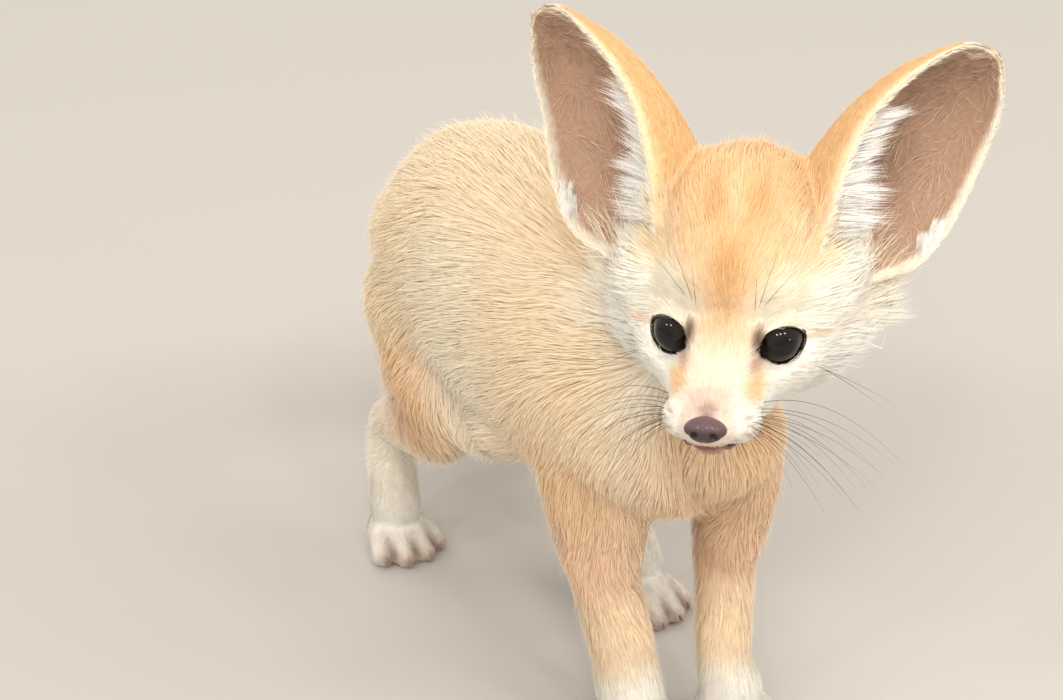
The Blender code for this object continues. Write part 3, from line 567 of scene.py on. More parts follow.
# Which way the coat lies: seeds on the skin, each with a direction, the hair's length and how
# high its tips stand off the skin. Every tuft takes a mean of the seeds round it, and the hide
# is drawn in by the same depth.

HEAD_LIE = [
    # Place and direction in the head's axes, length and depth in millimetres; mirrored
    ((0.0, 2.3, -1.05), (0, -1, 0.3), 1.5, 0.2),
    ((0.0, 1.4, -0.65), (0, -1, 0.35), 2.2, 0.3),
    ((0.0, 0.5, -0.25), (0, -1, 0.45), 2.8, 0.4),
    ((0.0, -0.1, 0.35), (0, -0.6, 1), 3.4, 0.6),
    ((0.55, 0.0, 0.15), (0.15, -0.5, 1), 2.4, 0.35),
    ((0.8, 1.8, -1.35), (0.3, -1, 0.05), 2.5, 0.45),
    ((0.6, 2.1, -1.75), (0.4, -0.9, -0.35), 1.6, 0.25),
    ((1.0, 1.0, -1.1), (0.4, -1, 0.05), 2.8, 0.4),
    ((1.0, 0.7, -1.8), (0.4, -1, -0.25), 3.0, 0.5),
    ((1.2, 0.25, -0.75), (0.7, -1, -0.15), 3.4, 0.5),
    ((1.15, -0.25, 0.80), (0.8, -0.4, 0.5), 4.6, 0.9),
    ((1.6, -0.6, 0.85), (1.0, -0.5, 0.35), 5.5, 1.1),
    ((0.0, -0.5, 1.5), (0, -0.45, 1), 4.8, 1.0),
    ((1.0, -0.9, 1.9), (0.35, -0.5, 1), 5.2, 1.1),
    ((0.0, -1.6, 3.2), (0, -0.8, 0.7), 6.0, 1.3),
    ((1.2, -2.2, 3.4), (0.15, -1, 0.4), 6.5, 1.3),
    ((0.0, -3.2, 4.1), (0, -0.9, 0.45), 9.0, 2.8),
    ((2.1, -1.0, 1.0), (1, -0.6, 0.3), 9.0, 2.4),
    ((2.0, -0.7, 0.1), (1, -0.6, 0.05), 6.5, 1.4),
    ((1.7, -0.2, -0.9), (1, -0.8, -0.2), 5.5, 1.0),
    ((2.6, -1.2, -0.6), (1, -0.5, -0.10), 12.0, 3.8),
    ((3.3, -2.2, -0.2), (1, -0.6, 0.0), 14.0, 5.5),
    ((3.0, -2.4, -1.2), (1, -0.8, -0.30), 13.0, 5.0),
    ((2.2, -1.4, -1.9), (0.7, -1, -0.5), 10.0, 2.8),
    ((1.2, -0.2, -2.1), (0.3, -1, -0.3), 5.0, 0.9),
    ((0.0, 1.9, -2.3), (0, -1, -0.3), 1.6, 0.3),
    ((0.0, 0.0, -2.6), (0, -1, -0.3), 5.0, 1.0),
    ((0.0, -1.8, -2.9), (0, -0.9, -0.8), 8.0, 2.0),
    ((2.4, -1.5, 1.9), (0.9, -0.4, 0.5), 11.0, 2.8),
    ((2.9, -1.7, 1.2), (0.9, -0.2, 0.7), 11.0, 3.0),
    ((2.8, -2.3, 1.9), (0.6, -0.1, 1.0), 9.0, 3.0),
    ((3.5, -2.2, 0.9), (1, -0.5, 0.35), 13.0, 4.5),
    ((3.5, -3.2, 0.3), (0.9, -0.9, 0.05), 12.0, 4.5),
    ((2.9, -4.0, 1.4), (0.3, -1, -0.3), 8.0, 2.0),
    ((1.2, -5.2, 2.4), (0.05, -0.6, -0.8), 9.0, 2.4),
    ((1.5, -5.4, 0.4), (0.1, -0.6, -1), 9.0, 2.6),
]
BODY_LIE = [
    # Place and direction in the body's axes, length and depth in millimetres
    ((0.4, 2.2, 13.8), (-0.1, 1, -0.05), 10.0, 2.6),
    ((2.6, 2.2, 12.4), (0.2, 1, -0.5), 9.5, 2.6),
    ((-1.2, 3.4, 12.6), (-0.2, 1, -0.5), 9.5, 2.6),
    ((1.6, -0.7, 10.6), (0.1, 0.1, -1), 8.5, 2.6),
    ((3.4, 1.0, 10.6), (0.2, 0.6, -1), 8.5, 2.6),
    ((-0.9, 0.6, 10.4), (-0.2, 0.5, -1), 8.5, 2.6),
    ((1.6, -1.0, 8.6), (0.1, 0.1, -1), 8.0, 2.4),
    ((1.1, 0.4, 6.4), (0, 0.8, -0.5), 7.0, 1.8),
    ((3.9, 1.8, 8.6), (0.1, 0.35, -1), 7.5, 1.8),
    ((-2.6, 2.6, 8.8), (-0.1, 0.4, -1), 7.5, 1.8),
    ((0.5, 4.2, 13.2), (0, 1, 0), 11.0, 3.0),
    ((0.5, 7.0, 13.9), (0, 1, 0.02), 12.0, 3.2),
    ((0.5, 10.4, 13.6), (0, 1, -0.2), 12.0, 3.2),
    ((0.45, 12.8, 12.0), (0, 0.9, -0.7), 12.0, 3.2),
    ((0.4, 14.9, 10.4), (0.1, 0.9, -0.5), 10.0, 2.4),
    ((3.7, 5.0, 10.4), (0, 1, -0.5), 10.5, 2.8),
    ((3.9, 7.4, 10.6), (0, 1, -0.45), 11.0, 2.9),
    ((3.6, 10.0, 10.6), (0, 0.9, -0.7), 11.0, 2.9),
    ((-2.8, 5.0, 10.4), (0, 1, -0.5), 10.5, 2.8),
    ((-2.95, 7.4, 10.6), (0, 1, -0.45), 11.0, 2.9),
    ((-2.7, 10.2, 10.8), (0, 0.9, -0.7), 11.0, 2.9),
    ((2.6, 5.0, 7.0), (0.1, 1, -0.3), 9.0, 2.2),
    ((-1.7, 5.6, 7.0), (-0.1, 1, -0.3), 9.0, 2.2),
    ((0.5, 4.8, 5.5), (0, 1, 0), 8.0, 1.9),
    ((0.5, 8.0, 5.6), (0, 1, 0), 8.0, 1.9),
    ((2.6, 12.4, 8.6), (0.2, 0.5, -1), 9.5, 2.4),
    ((-1.9, 12.9, 8.6), (-0.2, 0.5, -1), 9.5, 2.4),
    ((0.4, 14.0, 7.4), (0, 0.3, -1), 9.0, 2.2),
    ((4.2, 8.4, 7.6), (0, 0.3, -1), 8.5, 2.0),
    ((-3.1, 9.9, 7.6), (0, 0.3, -1), 8.5, 2.0),
]
LEG_LENGTHS = (9.0, 8.5, 7.2, 5.2, 3.0)  # hair at each joint of a leg, in millimetres
LEG_DEPTHS = (2.4, 2.2, 1.7, 1.1, 0.5)
TOE_HAIR = (2.2, 0.35)
TAIL_HAIR = 17.0


def sides_of(place):
    """Both sides for a place beside the head's middle, and one for a place on it."""
    return (-1, 1) if place[0] else (1,)


def lie_seeds():
    """Places, directions, lengths and depths of every seed of the coat's lie."""
    found = []
    for place, way, length, depth in HEAD_LIE:
        for side in sides_of(place):
            at = in_head(side * place[0], place[1], place[2])
            found.append((at, head_direction(side * way[0], way[1], way[2]), length, depth))
    for place, way, length, depth in BODY_LIE:
        found.append((in_body(*place), Vector(way).normalized(), length, depth))
    for leg in LEGS.values():
        joints = leg[0]
        for i in range(1, len(joints)):
            centre, width, deep = joints[i]
            way = (Vector(centre) - Vector(joints[i - 1][0])).normalized()
            for turn in range(4):
                angle = math.pi / 2 * turn
                at = Vector(centre) + Vector((width * math.cos(angle), deep * math.sin(angle), 0))
                found.append((in_body(*at), way, LEG_LENGTHS[i], LEG_DEPTHS[i]))
        for root, tip, heading in toe_lines(leg):
            way = (heading + Vector((0, 0, -0.35))).normalized()
            found.append((in_body(*(root + Vector((0, 0, 0.4)))), way, *TOE_HAIR))
            found.append((in_body(*(tip + Vector((0, 0, 0.3)))), way, *TOE_HAIR))
    rows = smooth_row([[*c, r] for c, r, _ in TAIL], 2)
    for first, second in zip(rows[2:], rows[3:]):
        way = (Vector(second[:3]) - Vector(first[:3])).normalized()
        found.append((in_body(*first[:3]), way, TAIL_HAIR, 0.0))
    places, ways, lengths, depths = zip(*found)
    return np.array(places), np.array(ways), np.array(lengths), np.array(depths)


SEEDS = lie_seeds()
DEEPEST = 3.2  # the hide lies no deeper than this, in millimetres, so that a ruff stands out
AT_ONCE = 20000  # points weighed in one go


def seed_shares(points, places, softness, power):
    """Each seed's share in each point, the nearer the more, for one run of points at a time."""
    for start in range(0, len(points), AT_ONCE):
        apart = ((points[start : start + AT_ONCE, None, :] - places[None]) ** 2).sum(2) / CM**2
        weight = 1.0 / (apart + softness) ** power
        yield weight / weight.sum(1, keepdims=True)


def lie(points):
    """Direction of the coat, hair length and depth of the coat (metres) at these points."""
    places, ways, lengths, depths = SEEDS
    runs = [(s @ ways, s @ lengths, s @ depths) for s in seed_shares(points, places, 0.06, 2.5)]
    way, length, depth = (np.concatenate(run) for run in zip(*runs))
    return way, length * MM, depth * MM


def eye_axis(side):
    return head_direction(side * math.sin(EYE_OUTWARD), math.cos(EYE_OUTWARD), 0)


def eye_place(side):
    left, forward, up = EYE_CENTRE
    return in_head(side * left, forward, up)


def lid_line(side, depth, spread, turns):
    """Points round the almond between the lids, at one depth along the eye's axis."""
    axis = eye_axis(side)
    across = head_direction(side * math.cos(EYE_OUTWARD), -math.sin(EYE_OUTWARD), 0)
    upward = head_direction(0, 0, 1)
    width, height = EYE_OPENING
    points = []
    for angle in turns:
        c, s = math.cos(angle), math.sin(angle)
        x = width * c * (1 + EYE_CORNER * abs(c) ** 9)
        z = height * s * (1 - 0.12 * abs(c) ** 3) * (0.93 if s > 0 else 1.0)
        x, z = x * math.cos(EYE_TILT) - z * math.sin(EYE_TILT), x * math.sin(EYE_TILT) + z
        ahead = axis * depth * CM
        points.append(eye_place(side) + (across * x + upward * z) * spread * CM + ahead)
    return points


# How far along the eye's axis, and how wide the opening is there, from the eyeball outwards
LID_LOOPS = ((0.26, 0.84), (0.62, 0.98), (0.9, 1.12), (1.5, 1.7))


def cut_lids(skin):
    """Opens the lids over both eyes, down to the eyeball."""
    turns = [2 * math.pi * k / 72 for k in range(72)]
    for side in (-1, 1):
        bm = bmesh.new()
        loops = []
        for depth, spread in LID_LOOPS:
            loops.append([bm.verts.new(p) for p in lid_line(side, depth, spread, turns)])
        for first, second in zip(loops, loops[1:]):
            bridge(bm, first, second)
        bm.faces.new(loops[0])
        bm.faces.new(loops[-1])
        opening = closed_mesh("opening", bm)
        radius = (EYE_RADIUS + 0.012) * CM
        socket = Matrix.Translation(eye_place(side)) @ Matrix.Scale(radius, 4)
        socket = ball("socket", socket, 64)
        for cutter in (opening, socket):
            cut = skin.modifiers.new("cut", "BOOLEAN")
            cut.operation = "DIFFERENCE"
            cut.solver = "MANIFOLD"
            cut.object = cutter
            applied(skin)
            bpy.data.objects.remove(cutter)


def ear_grid(side):
    """Places midway in the ear's wall, their normals, and how far up and across each lies."""
    ups, across = np.meshgrid(np.linspace(0.01, 0.99, 90), np.linspace(0.01, 0.99, 70))
    ups, across = ups.ravel(), across.ravel()
    return ear_surface(side, ups, across), ear_normals(side, ups, across), ups, across


EAR_GRIDS = [ear_grid(side) for side in (-1, 1)]


def tree_of(places, numbers):
    tree = KDTree(len(places))
    for place, number in zip(places, numbers):
        tree.insert(place, int(number))
    tree.balance()
    return tree


def on_ears(points):
    """Distance to the nearer ear's wall, its place up and across, and +1 on the hollow side."""
    apart = np.full(len(points), 1.0)
    up, across, hollow = np.zeros(len(points)), np.zeros(len(points)), np.ones(len(points))
    for places, normals, ups, acrosses in EAR_GRIDS:
        low, high = places.min(0) - 4 * MM, places.max(0) + 4 * MM
        inside = np.nonzero(((points > low) & (points < high)).all(1))[0]
        tree = tree_of(places, range(len(places)))
        for i in inside:
            found, which, distance = tree.find(points[i])
            if distance < apart[i]:
                apart[i], up[i], across[i] = distance, ups[which], acrosses[which]
                hollow[i] = np.sign((points[i] - places[which]) @ normals[which])
    return apart, up, across, hollow


def ear_share(apart):
    return 1 - soft_step(apart, 0.9 * MM, 1.8 * MM)


SKIN_TRIANGLES = 190000
BLEND_ROUNDS = 32
# Muzzle and eyes keep their forms while the rest is blended: centre in the head's axes, near, far
KEPT_CRISP = (((0, 1.9, -1.5), 1.1, 2.0), (EYE_CENTRE, 0.95, 1.4))
FEET_CRISP = (0.5 * CM, 1.0 * CM)


def make_skin():
    """The forms as one blended mesh, drawn in by the coat's depth, with its lids cut open."""
    forms = head_forms() + body_forms() + [ear_shell(side) for side in (-1, 1)]
    skin = joined("fox_skin", forms)
    blending = skin.modifiers.new("blend", "REMESH")
    blending.mode = "VOXEL"
    blending.voxel_size = FINE * MM
    applied(skin)
    points = vertex_rows(skin.data)
    ear = ear_share(on_ears(points)[0])
    fixed = ear * 0.9
    at = head_places(points)
    at[:, 0] = np.abs(at[:, 0])
    for centre, near, far in KEPT_CRISP:
        fixed = np.maximum(fixed, 1 - soft_step(np.linalg.norm(at - centre, axis=1), near, far))
    low = 1 - soft_step(points[:, 2], *FEET_CRISP)
    share = 0.5 * (1 - np.maximum(fixed, low * 0.8))
    points = relaxed(skin.data, points, share, BLEND_ROUNDS)
    points = relaxed(skin.data, points, np.full(len(points), 0.4), 2)
    set_places(skin.data, points)
    normals = vertex_rows(skin.data, "normal")
    depth = np.minimum(lie(points)[2], DEEPEST * MM) * (1 - ear)
    points = points - normals * depth[:, None]
    points = relaxed(skin.data, points, share * 0.6, 3)
    for side in (-1, 1):
        off = points - np.array(eye_place(side))
        far = np.linalg.norm(off, axis=1, keepdims=True)
        points += off / far * np.maximum(0, (EYE_RADIUS + LID_THICKNESS * 0.8) * CM - far)
    points[:, 2] = np.maximum(points[:, 2], FLOOR_CLEARANCE)
    set_places(skin.data, points)
    cut_lids(skin)
    reworked(skin, bmesh.ops.triangulate)
    thin = skin.modifiers.new("thin", "DECIMATE")
    thin.ratio = min(1.0, SKIN_TRIANGLES / len(skin.data.polygons))
    applied(skin)
    skin.data.shade_smooth()
    return skin


skin = make_skin()

# The markings: golden crown and back, white brows, cheeks, muzzle and feet, tan shoulders and
# thighs, a dark tip to the tail, and painted shade on the chin and round the toes. Hide and hair
# both take their colour from these.

HEAD_COLOURS = [
    # Place in the head's axes, colour; mirrored
    ((0.0, -0.6, 1.6), (244, 203, 149)),
    ((0.9, -1.0, 1.9), (246, 211, 162)),
    ((0.0, -1.3, 2.7), (244, 204, 151)),
    ((1.2, -2.0, 3.2), (243, 205, 156)),
    ((0.0, -3.1, 4.2), (240, 200, 153)),
    ((1.6, -4.2, 3.4), (238, 200, 155)),
    ((0.0, 0.2, 0.1), (247, 221, 187)),
    ((0.0, 1.2, -0.6), (252, 236, 216)),
    ((0.0, 2.1, -1.0), (234, 208, 190)),
    ((0.8, 1.8, -1.4), (253, 246, 237)),
    ((0.9, 0.9, -1.5), (254, 250, 243)),
    # painted shade: the chin is darker, as in the shade under the muzzle
    ((0.0, 1.9, -2.3), (214, 178, 148)),
    ((1.2, 0.2, -0.9), (253, 247, 236)),
    ((1.0, -0.1, -2.1), (253, 248, 240)),
    ((2.1, -0.8, -0.2), (254, 249, 241)),
    ((2.8, -1.5, -0.8), (254, 250, 243)),
    ((3.2, -2.6, -0.3), (253, 246, 234)),
    ((2.4, -1.5, -1.9), (253, 248, 239)),
    ((1.3, -0.5, 0.95), (255, 243, 224)),
    ((2.1, -1.1, 0.8), (254, 248, 238)),
    ((2.6, -1.7, 1.6), (254, 248, 238)),
    ((1.8, -1.4, 1.9), (250, 225, 189)),
    ((3.2, -3.2, 0.6), (250, 232, 206)),
    ((2.2, -5.0, 1.6), (240, 209, 167)),
    ((0.0, -5.5, 1.6), (238, 205, 163)),
    ((0.0, -1.8, -2.9), (250, 239, 220)),
]
BODY_COLOURS = [
    # Place in the body's axes, colour
    ((0.5, 2.4, 13.8), (242, 217, 181)),
    ((0.5, 4.6, 13.5), (241, 221, 188)),
    ((0.5, 7.0, 13.9), (241, 223, 192)),
    ((0.5, 10.4, 13.6), (241, 223, 193)),
    ((0.45, 12.8, 12.0), (242, 223, 194)),
    ((3.9, 7.4, 10.4), (245, 232, 208)),
    ((3.9, 7.4, 8.2), (247, 236, 214)),
    ((-2.95, 7.4, 10.4), (245, 232, 208)),
    ((-2.95, 7.4, 8.2), (246, 233, 211)),
    ((3.4, 3.6, 11.0), (244, 225, 194)),
    ((-2.2, 3.6, 11.0), (244, 225, 194)),
    ((1.8, -0.6, 11.2), (245, 217, 180)),
    ((1.6, -1.0, 9.0), (244, 210, 171)),
    ((0.6, 0.4, 9.6), (244, 213, 176)),
    ((-1.6, 1.7, 11.4), (244, 225, 193)),
    ((-2.1, 2.2, 9.8), (244, 222, 189)),
    ((1.0, 0.4, 6.8), (243, 208, 170)),
    ((0.5, 5.0, 5.6), (251, 245, 232)),
    ((0.5, 8.6, 5.7), (251, 245, 232)),
    ((3.6, 10.4, 9.8), (241, 222, 189)),
    ((-2.9, 11.0, 9.8), (241, 222, 189)),
    ((4.0, 8.8, 7.0), (238, 207, 167)),
    ((-3.1, 10.0, 7.0), (236, 200, 157)),
    ((0.4, 14.2, 8.4), (243, 222, 189)),
    ((-1.9, 2.8, 7.2), (242, 209, 169)),
    ((2.9, 1.8, 7.0), (242, 209, 169)),
    ((-1.4, 2.4, 5.2), (244, 210, 177)),
    ((2.3, 1.2, 5.0), (244, 210, 177)),
    ((-1.2, 1.6, 3.0), (246, 222, 190)),
    ((1.7, 0.4, 3.0), (246, 222, 190)),
    ((-1.1, 0.6, 0.9), (253, 247, 238)),
    ((1.3, -0.6, 0.9), (253, 247, 238)),
    ((-1.75, 11.2, 4.9), (246, 230, 208)),
    ((2.85, 7.4, 4.9), (246, 230, 208)),
    ((-1.5, 12.4, 2.6), (251, 242, 228)),
    ((2.7, 7.0, 2.4), (251, 242, 228)),
    ((-1.7, 11.6, 0.9), (253, 247, 238)),
    ((2.5, 5.0, 0.9), (253, 247, 238)),
    ((0.95, 15.4, 8.9), (238, 209, 167)),
    ((2.3, 16.8, 6.6), (234, 201, 157)),
    ((3.9, 17.2, 4.0), (222, 187, 145)),
    ((5.2, 16.8, 2.8), (188, 149, 113)),
    ((6.6, 16.0, 2.2), (74, 54, 45)),
    ((8.6, 15.0, 1.8), (54, 41, 35)),
]
FACE_PATCHES = [
    # Centre and radii in the head's axes, colour, strength; mirrored
    ((0.0, -0.4, 1.5), (0.42, 1.2, 0.80), (220, 168, 104), 0.62),
    ((0.0, -1.3, 3.1), (0.20, 1.2, 0.55), (248, 222, 182), 0.6),
    ((0.0, 0.0, 0.75), (0.42, 0.9, 0.5), (232, 190, 134), 0.55),
    ((0.5, -1.4, 3.1), (0.26, 1.0, 0.5), (222, 166, 106), 0.5),
    ((0.88, 1.0, -0.80), (0.22, 0.75, 0.36), (240, 186, 112), 0.85),
    ((0.85, 0.25, 0.08), (0.16, 0.7, 0.32), (92, 62, 42), 0.95),
    ((0.82, 0.5, -0.36), (0.15, 0.6, 0.18), (168, 118, 98), 0.8),
    ((0.0, 2.35, -1.08), (0.22, 0.45, 0.19), (138, 108, 106), 0.95),
    # painted shade on the chin just below the lower lip
    ((0.0, 2.0, -2.2), (0.5, 0.6, 0.20), (176, 128, 108), 0.55),
    ((2.0, -0.8, 0.15), (0.55, 0.8, 0.12), (214, 174, 128), 0.5),
    ((1.15, 0.0, 0.85), (0.6, 0.8, 0.28), (255, 244, 226), 0.7),
]
WHISKERS_IN_ROW = (4, 5, 6, 5)


def whisker_places():
    """Row, how far back (0 to 1) and place of each whisker of the left pad, in the head's axes."""
    found = []
    for row, count in enumerate(WHISKERS_IN_ROW):
        for back in np.linspace(0, 1, count):
            forward = 2.15 - 1.0 * back + 0.05 * row
            up = -1.20 - 0.17 * row + 0.05 * back
            found.append((row, back, (1.3, forward, up)))
    return found


for _, _, (_, forward, up) in whisker_places():
    FACE_PATCHES.append(((0.95, forward, up), (0.5, 0.045, 0.045), (120, 92, 80), 0.75))


def linear(colours):
    """Linear light from colours as they are seen on a screen, 0 to 255."""
    share = np.array(colours, float) / 255.0
    return np.where(share <= 0.04045, share / 12.92, ((share + 0.055) / 1.055) ** 2.4)


def blend(first, second, share):
    return first * (1 - share) + second * share


def colour_seeds():
    places, colours = [], []
    for place, colour in HEAD_COLOURS:
        for side in sides_of(place):
            places.append(in_head(side * place[0], place[1], place[2]))
            colours.append(colour)
    for place, colour in BODY_COLOURS:
        places.append(in_body(*place))
        colours.append(colour)
    return np.array(places), linear(colours)


COLOUR_SEEDS = colour_seeds()
# Painted shade: the toe tips are their bare skin darkened further, and the gaps between toes are
# darkened.
TOE_TIP_SKIN_AND_SHADE, TOE_GAP_SHADE = linear((172, 124, 104)), linear((118, 86, 72))
TOES_REACH_UP = 1.6 * CM


def toe_patches():
    """Places, radii, colours and strengths of the toe tips, bare skin darkened with painted shade,
    and of the painted shade in the gaps between toes.
    """
    found = []
    for leg in LEGS.values():
        lines = toe_lines(leg)
        for _, tip, heading in lines:
            found.append((in_body(*(tip + heading * 0.34)), 0.27, TOE_TIP_SKIN_AND_SHADE, 0.85))
        for (_, one, heading), (_, other, _) in zip(lines, lines[1:]):
            for behind in (0.0, 0.25, 0.5):
                rise = Vector((0, 0, 0.15 + behind * 0.5))
                place = (one + other) / 2 - heading * behind + rise
                found.append((in_body(*place), 0.18, TOE_GAP_SHADE, 0.85))
    return found


TOE_PATCHES = toe_patches()


def markings_and_shade(points):
    """Linear colour of the coat at each point, with painted shade under the chin and round the toes.
    """
    places, colours = COLOUR_SEEDS
    tint = np.vstack([shares @ colours for shares in seed_shares(points, places, 0.05, 2.2)])
    at = head_places(points)
    for centre, radii, colour, strength in FACE_PATCHES:
        for side in sides_of(centre):
            middle_of = np.array((side * centre[0], centre[1], centre[2]))
            apart = (((at - middle_of) / np.array(radii)) ** 2).sum(1)
            share = strength * np.exp(-(apart**1.4) * 0.8)[:, None]
            tint = blend(tint, linear(colour), share)
    # painted shade at the toes' tips and in the gaps between them
    low = np.nonzero(points[:, 2] < TOES_REACH_UP)[0]
    for place, radius, colour, strength in TOE_PATCHES:
        apart = ((points[low] - np.array(place)) ** 2).sum(1) / (radius * CM) ** 2
        share = strength * np.exp(-apart * 0.8)[:, None]
        tint[low] = blend(tint[low], colour, share)
    return tint


EAR_BACK, EAR_BACK_EDGE = linear((224, 184, 131)), linear((240, 214, 174))
# The deep ear tone is painted shade deep in the ear's hollow.
EAR_INNER, EAR_DEEP_SHADE = linear((188, 154, 131)), linear((98, 68, 53))
EAR_RIM, EAR_BAND = linear((250, 238, 220)), linear((228, 202, 184))


def ear_markings_and_shade(up, across, hollow):
    """Linear colour of the ear's skin: orange behind, pinkish brown within, darkened with painted
    shade deep in the hollow.
    """
    edge = np.minimum(np.minimum(across, 1 - across), (1 - up) * 0.5)
    rim = (1 - soft_step(edge, 0.01, 0.07))[:, None]
    band = (1 - soft_step(across, 0.10, 0.30))[:, None]
    # painted shade: darker low in the cup and away from its edges
    deep = ((1 - soft_step(up, 0.12, 0.62)) * soft_step(edge, 0.12, 0.40))[:, None] * 0.85
    within = blend(blend(EAR_INNER, EAR_DEEP_SHADE, deep), EAR_BAND, band)
    within = blend(within, EAR_RIM, rim)
    behind = blend(EAR_BACK, EAR_BACK_EDGE, rim)
    return np.where(hollow[:, None] > 0, within, behind)


def paint(piece, colours):
    """Gives the piece its tint: one colour, or one for each of its points."""
    rows = np.ones((len(piece.data.vertices), 4), np.float32)
    rows[:, :3] = colours
    layer = piece.data.attributes.new("tint", "FLOAT_COLOR", "POINT")
    layer.data.foreach_set("color", rows.ravel())


def node_tree(owner):
    owner.use_nodes = True
    owner.node_tree.nodes.clear()
    return owner.node_tree


def add(tree, kind, **values):
    """A new shader node with these inputs or settings."""
    node = tree.nodes.new(kind)
    for key, value in values.items():
        if key in node.inputs:
            node.inputs[key].default_value = value
        else:
            setattr(node, key, value)
    return node


def make_mottle():
    """Shared group: a colour varied softly over the surface, with a fine grain as height."""
    tree = bpy.data.node_groups.new("coat_mottle", "ShaderNodeTree")
    for way, name, kind in (
        ("INPUT", "Color", "Color"),
        ("INPUT", "Scale", "Float"),
        ("INPUT", "Amount", "Float"),
        ("OUTPUT", "Color", "Color"),
        ("OUTPUT", "Grain", "Float"),
    ):
        tree.interface.new_socket(name, in_out=way, socket_type="NodeSocket" + kind)
    start, end = add(tree, "NodeGroupInput"), add(tree, "NodeGroupOutput")
    where = add(tree, "ShaderNodeTexCoord")
    noise = add(tree, "ShaderNodeTexNoise", Detail=4.0)
    spread = add(tree, "ShaderNodeMapRange", **{"From Min": 0.3, "From Max": 0.7})
    low = add(tree, "ShaderNodeMath", operation="SUBTRACT")
    high = add(tree, "ShaderNodeMath", operation="ADD")
    scaled = add(tree, "ShaderNodeVectorMath", operation="SCALE")
    link = tree.links.new
    link(where.outputs["Object"], noise.inputs["Vector"])
    link(start.outputs["Scale"], noise.inputs["Scale"])
    link(noise.outputs["Fac"], spread.inputs["Value"])
    for node, end_of in ((low, "To Min"), (high, "To Max")):
        node.inputs[0].default_value = 1.0
        link(start.outputs["Amount"], node.inputs[1])
        link(node.outputs[0], spread.inputs[end_of])
    link(start.outputs["Color"], scaled.inputs[0])
    link(spread.outputs["Result"], scaled.inputs["Scale"])
    link(scaled.outputs[0], end.inputs["Color"])
    link(noise.outputs["Fac"], end.inputs["Grain"])
    return tree


MOTTLE = make_mottle()


def tinted_material(name, **values):
    """A new material with its tree, the piece's own tint, and a shader with these values."""
    material = bpy.data.materials.new(name)
    tree = node_tree(material)
    tint = add(tree, "ShaderNodeAttribute", attribute_name="tint")
    shader = add(tree, "ShaderNodeBsdfPrincipled", **values)
    output = add(tree, "ShaderNodeOutputMaterial")
    tree.links.new(shader.outputs["BSDF"], output.inputs["Surface"])
    return material, tree, tint, shader


def add_relief(tree, height, shader, **values):
    relief = add(tree, "ShaderNodeBump", **values)
    tree.links.new(height, relief.inputs["Height"])
    tree.links.new(relief.outputs["Normal"], shader.inputs["Normal"])


def coat_material(name, scale, amount, roughness, sheen, bump):
    """A finish whose colour comes from the piece's own tint, varied by the shared group."""
    soft = {"Sheen Weight": sheen, "Sheen Roughness": 0.5, "Specular IOR Level": 0.25}
    material, tree, tint, shader = tinted_material(name, Roughness=roughness, **soft)
    group = add(tree, "ShaderNodeGroup", node_tree=MOTTLE)
    group.inputs["Scale"].default_value = scale
    group.inputs["Amount"].default_value = amount
    tree.links.new(tint.outputs["Color"], group.inputs["Color"])
    tree.links.new(group.outputs["Color"], shader.inputs["Base Color"])
    if bump:
        add_relief(tree, group.outputs["Grain"], shader, Strength=bump, Distance=0.0004)
    return material


FLESH_NODES = [
    "head", "lower_jaw", "neck", "torso", "ear_left", "ear_right", "tail_base", "tail_end",
    "upper_foreleg_left", "lower_foreleg_left", "forepaw_left",
    "upper_foreleg_right", "lower_foreleg_right", "forepaw_right",
    "thigh_left", "shank_left", "hind_paw_left", "thigh_right", "shank_right", "hind_paw_right",
]
skin_points = vertex_rows(skin.data)
skin_apart, skin_up, skin_across, skin_hollow = on_ears(skin_points)
share = ear_share(skin_apart)[:, None]
SHADED_BY_HAIR = 0.90  # painted shade: the hide is darkened as if in the shade of the hair over it
shade = markings_and_shade(skin_points) * SHADED_BY_HAIR * (1 - share)
paint(skin, shade + ear_markings_and_shade(skin_up, skin_across, skin_hollow) * share)
skin.data.materials.clear()
skin.data.materials.append(coat_material("pelt", 900.0, 0.10, 0.75, 0.2, 0.35))
skin.data.polygons.foreach_set("material_index", np.zeros(len(skin.data.polygons), np.int32))
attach(skin, "root")
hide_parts(*FLESH_NODES)

# The unwrap of the hide, made on a coarse copy of it: each tuft gets a small patch at its root's
# place there.


UNWRAP_TRIANGLES = 12000


def make_unwrap():
    """Faces of a coarse copy of the skin, as a tree, with the unwrapped corners of each."""
    copy = placed("unwrap", skin.data.copy())
    thin = copy.modifiers.new("thin", "DECIMATE")
    thin.ratio = UNWRAP_TRIANGLES / len(copy.data.polygons)
    applied(copy)
    bpy.context.view_layer.objects.active = copy
    copy.select_set(True)
    bpy.ops.object.mode_set(mode="EDIT")
    bpy.ops.mesh.select_all(action="SELECT")
    bpy.ops.uv.smart_project(angle_limit=math.radians(66), island_margin=0.004)
    bpy.ops.object.mode_set(mode="OBJECT")
    copy.select_set(False)
    mesh = copy.data
    points = vertex_rows(mesh)
    corners = np.array([tuple(face.vertices) for face in mesh.polygons])
    flat = np.empty(len(mesh.loops) * 2, np.float32)
    mesh.uv_layers.active.data.foreach_get("uv", flat)
    starts = np.array([face.loop_start for face in mesh.polygons])
    patches = flat.reshape(-1, 2)[starts[:, None] + np.arange(3)]
    tree = BVHTree.FromPolygons([tuple(p) for p in points], [tuple(c) for c in corners.tolist()])
    bpy.data.objects.remove(copy)
    return tree, points[corners], patches


UNWRAP = make_unwrap()


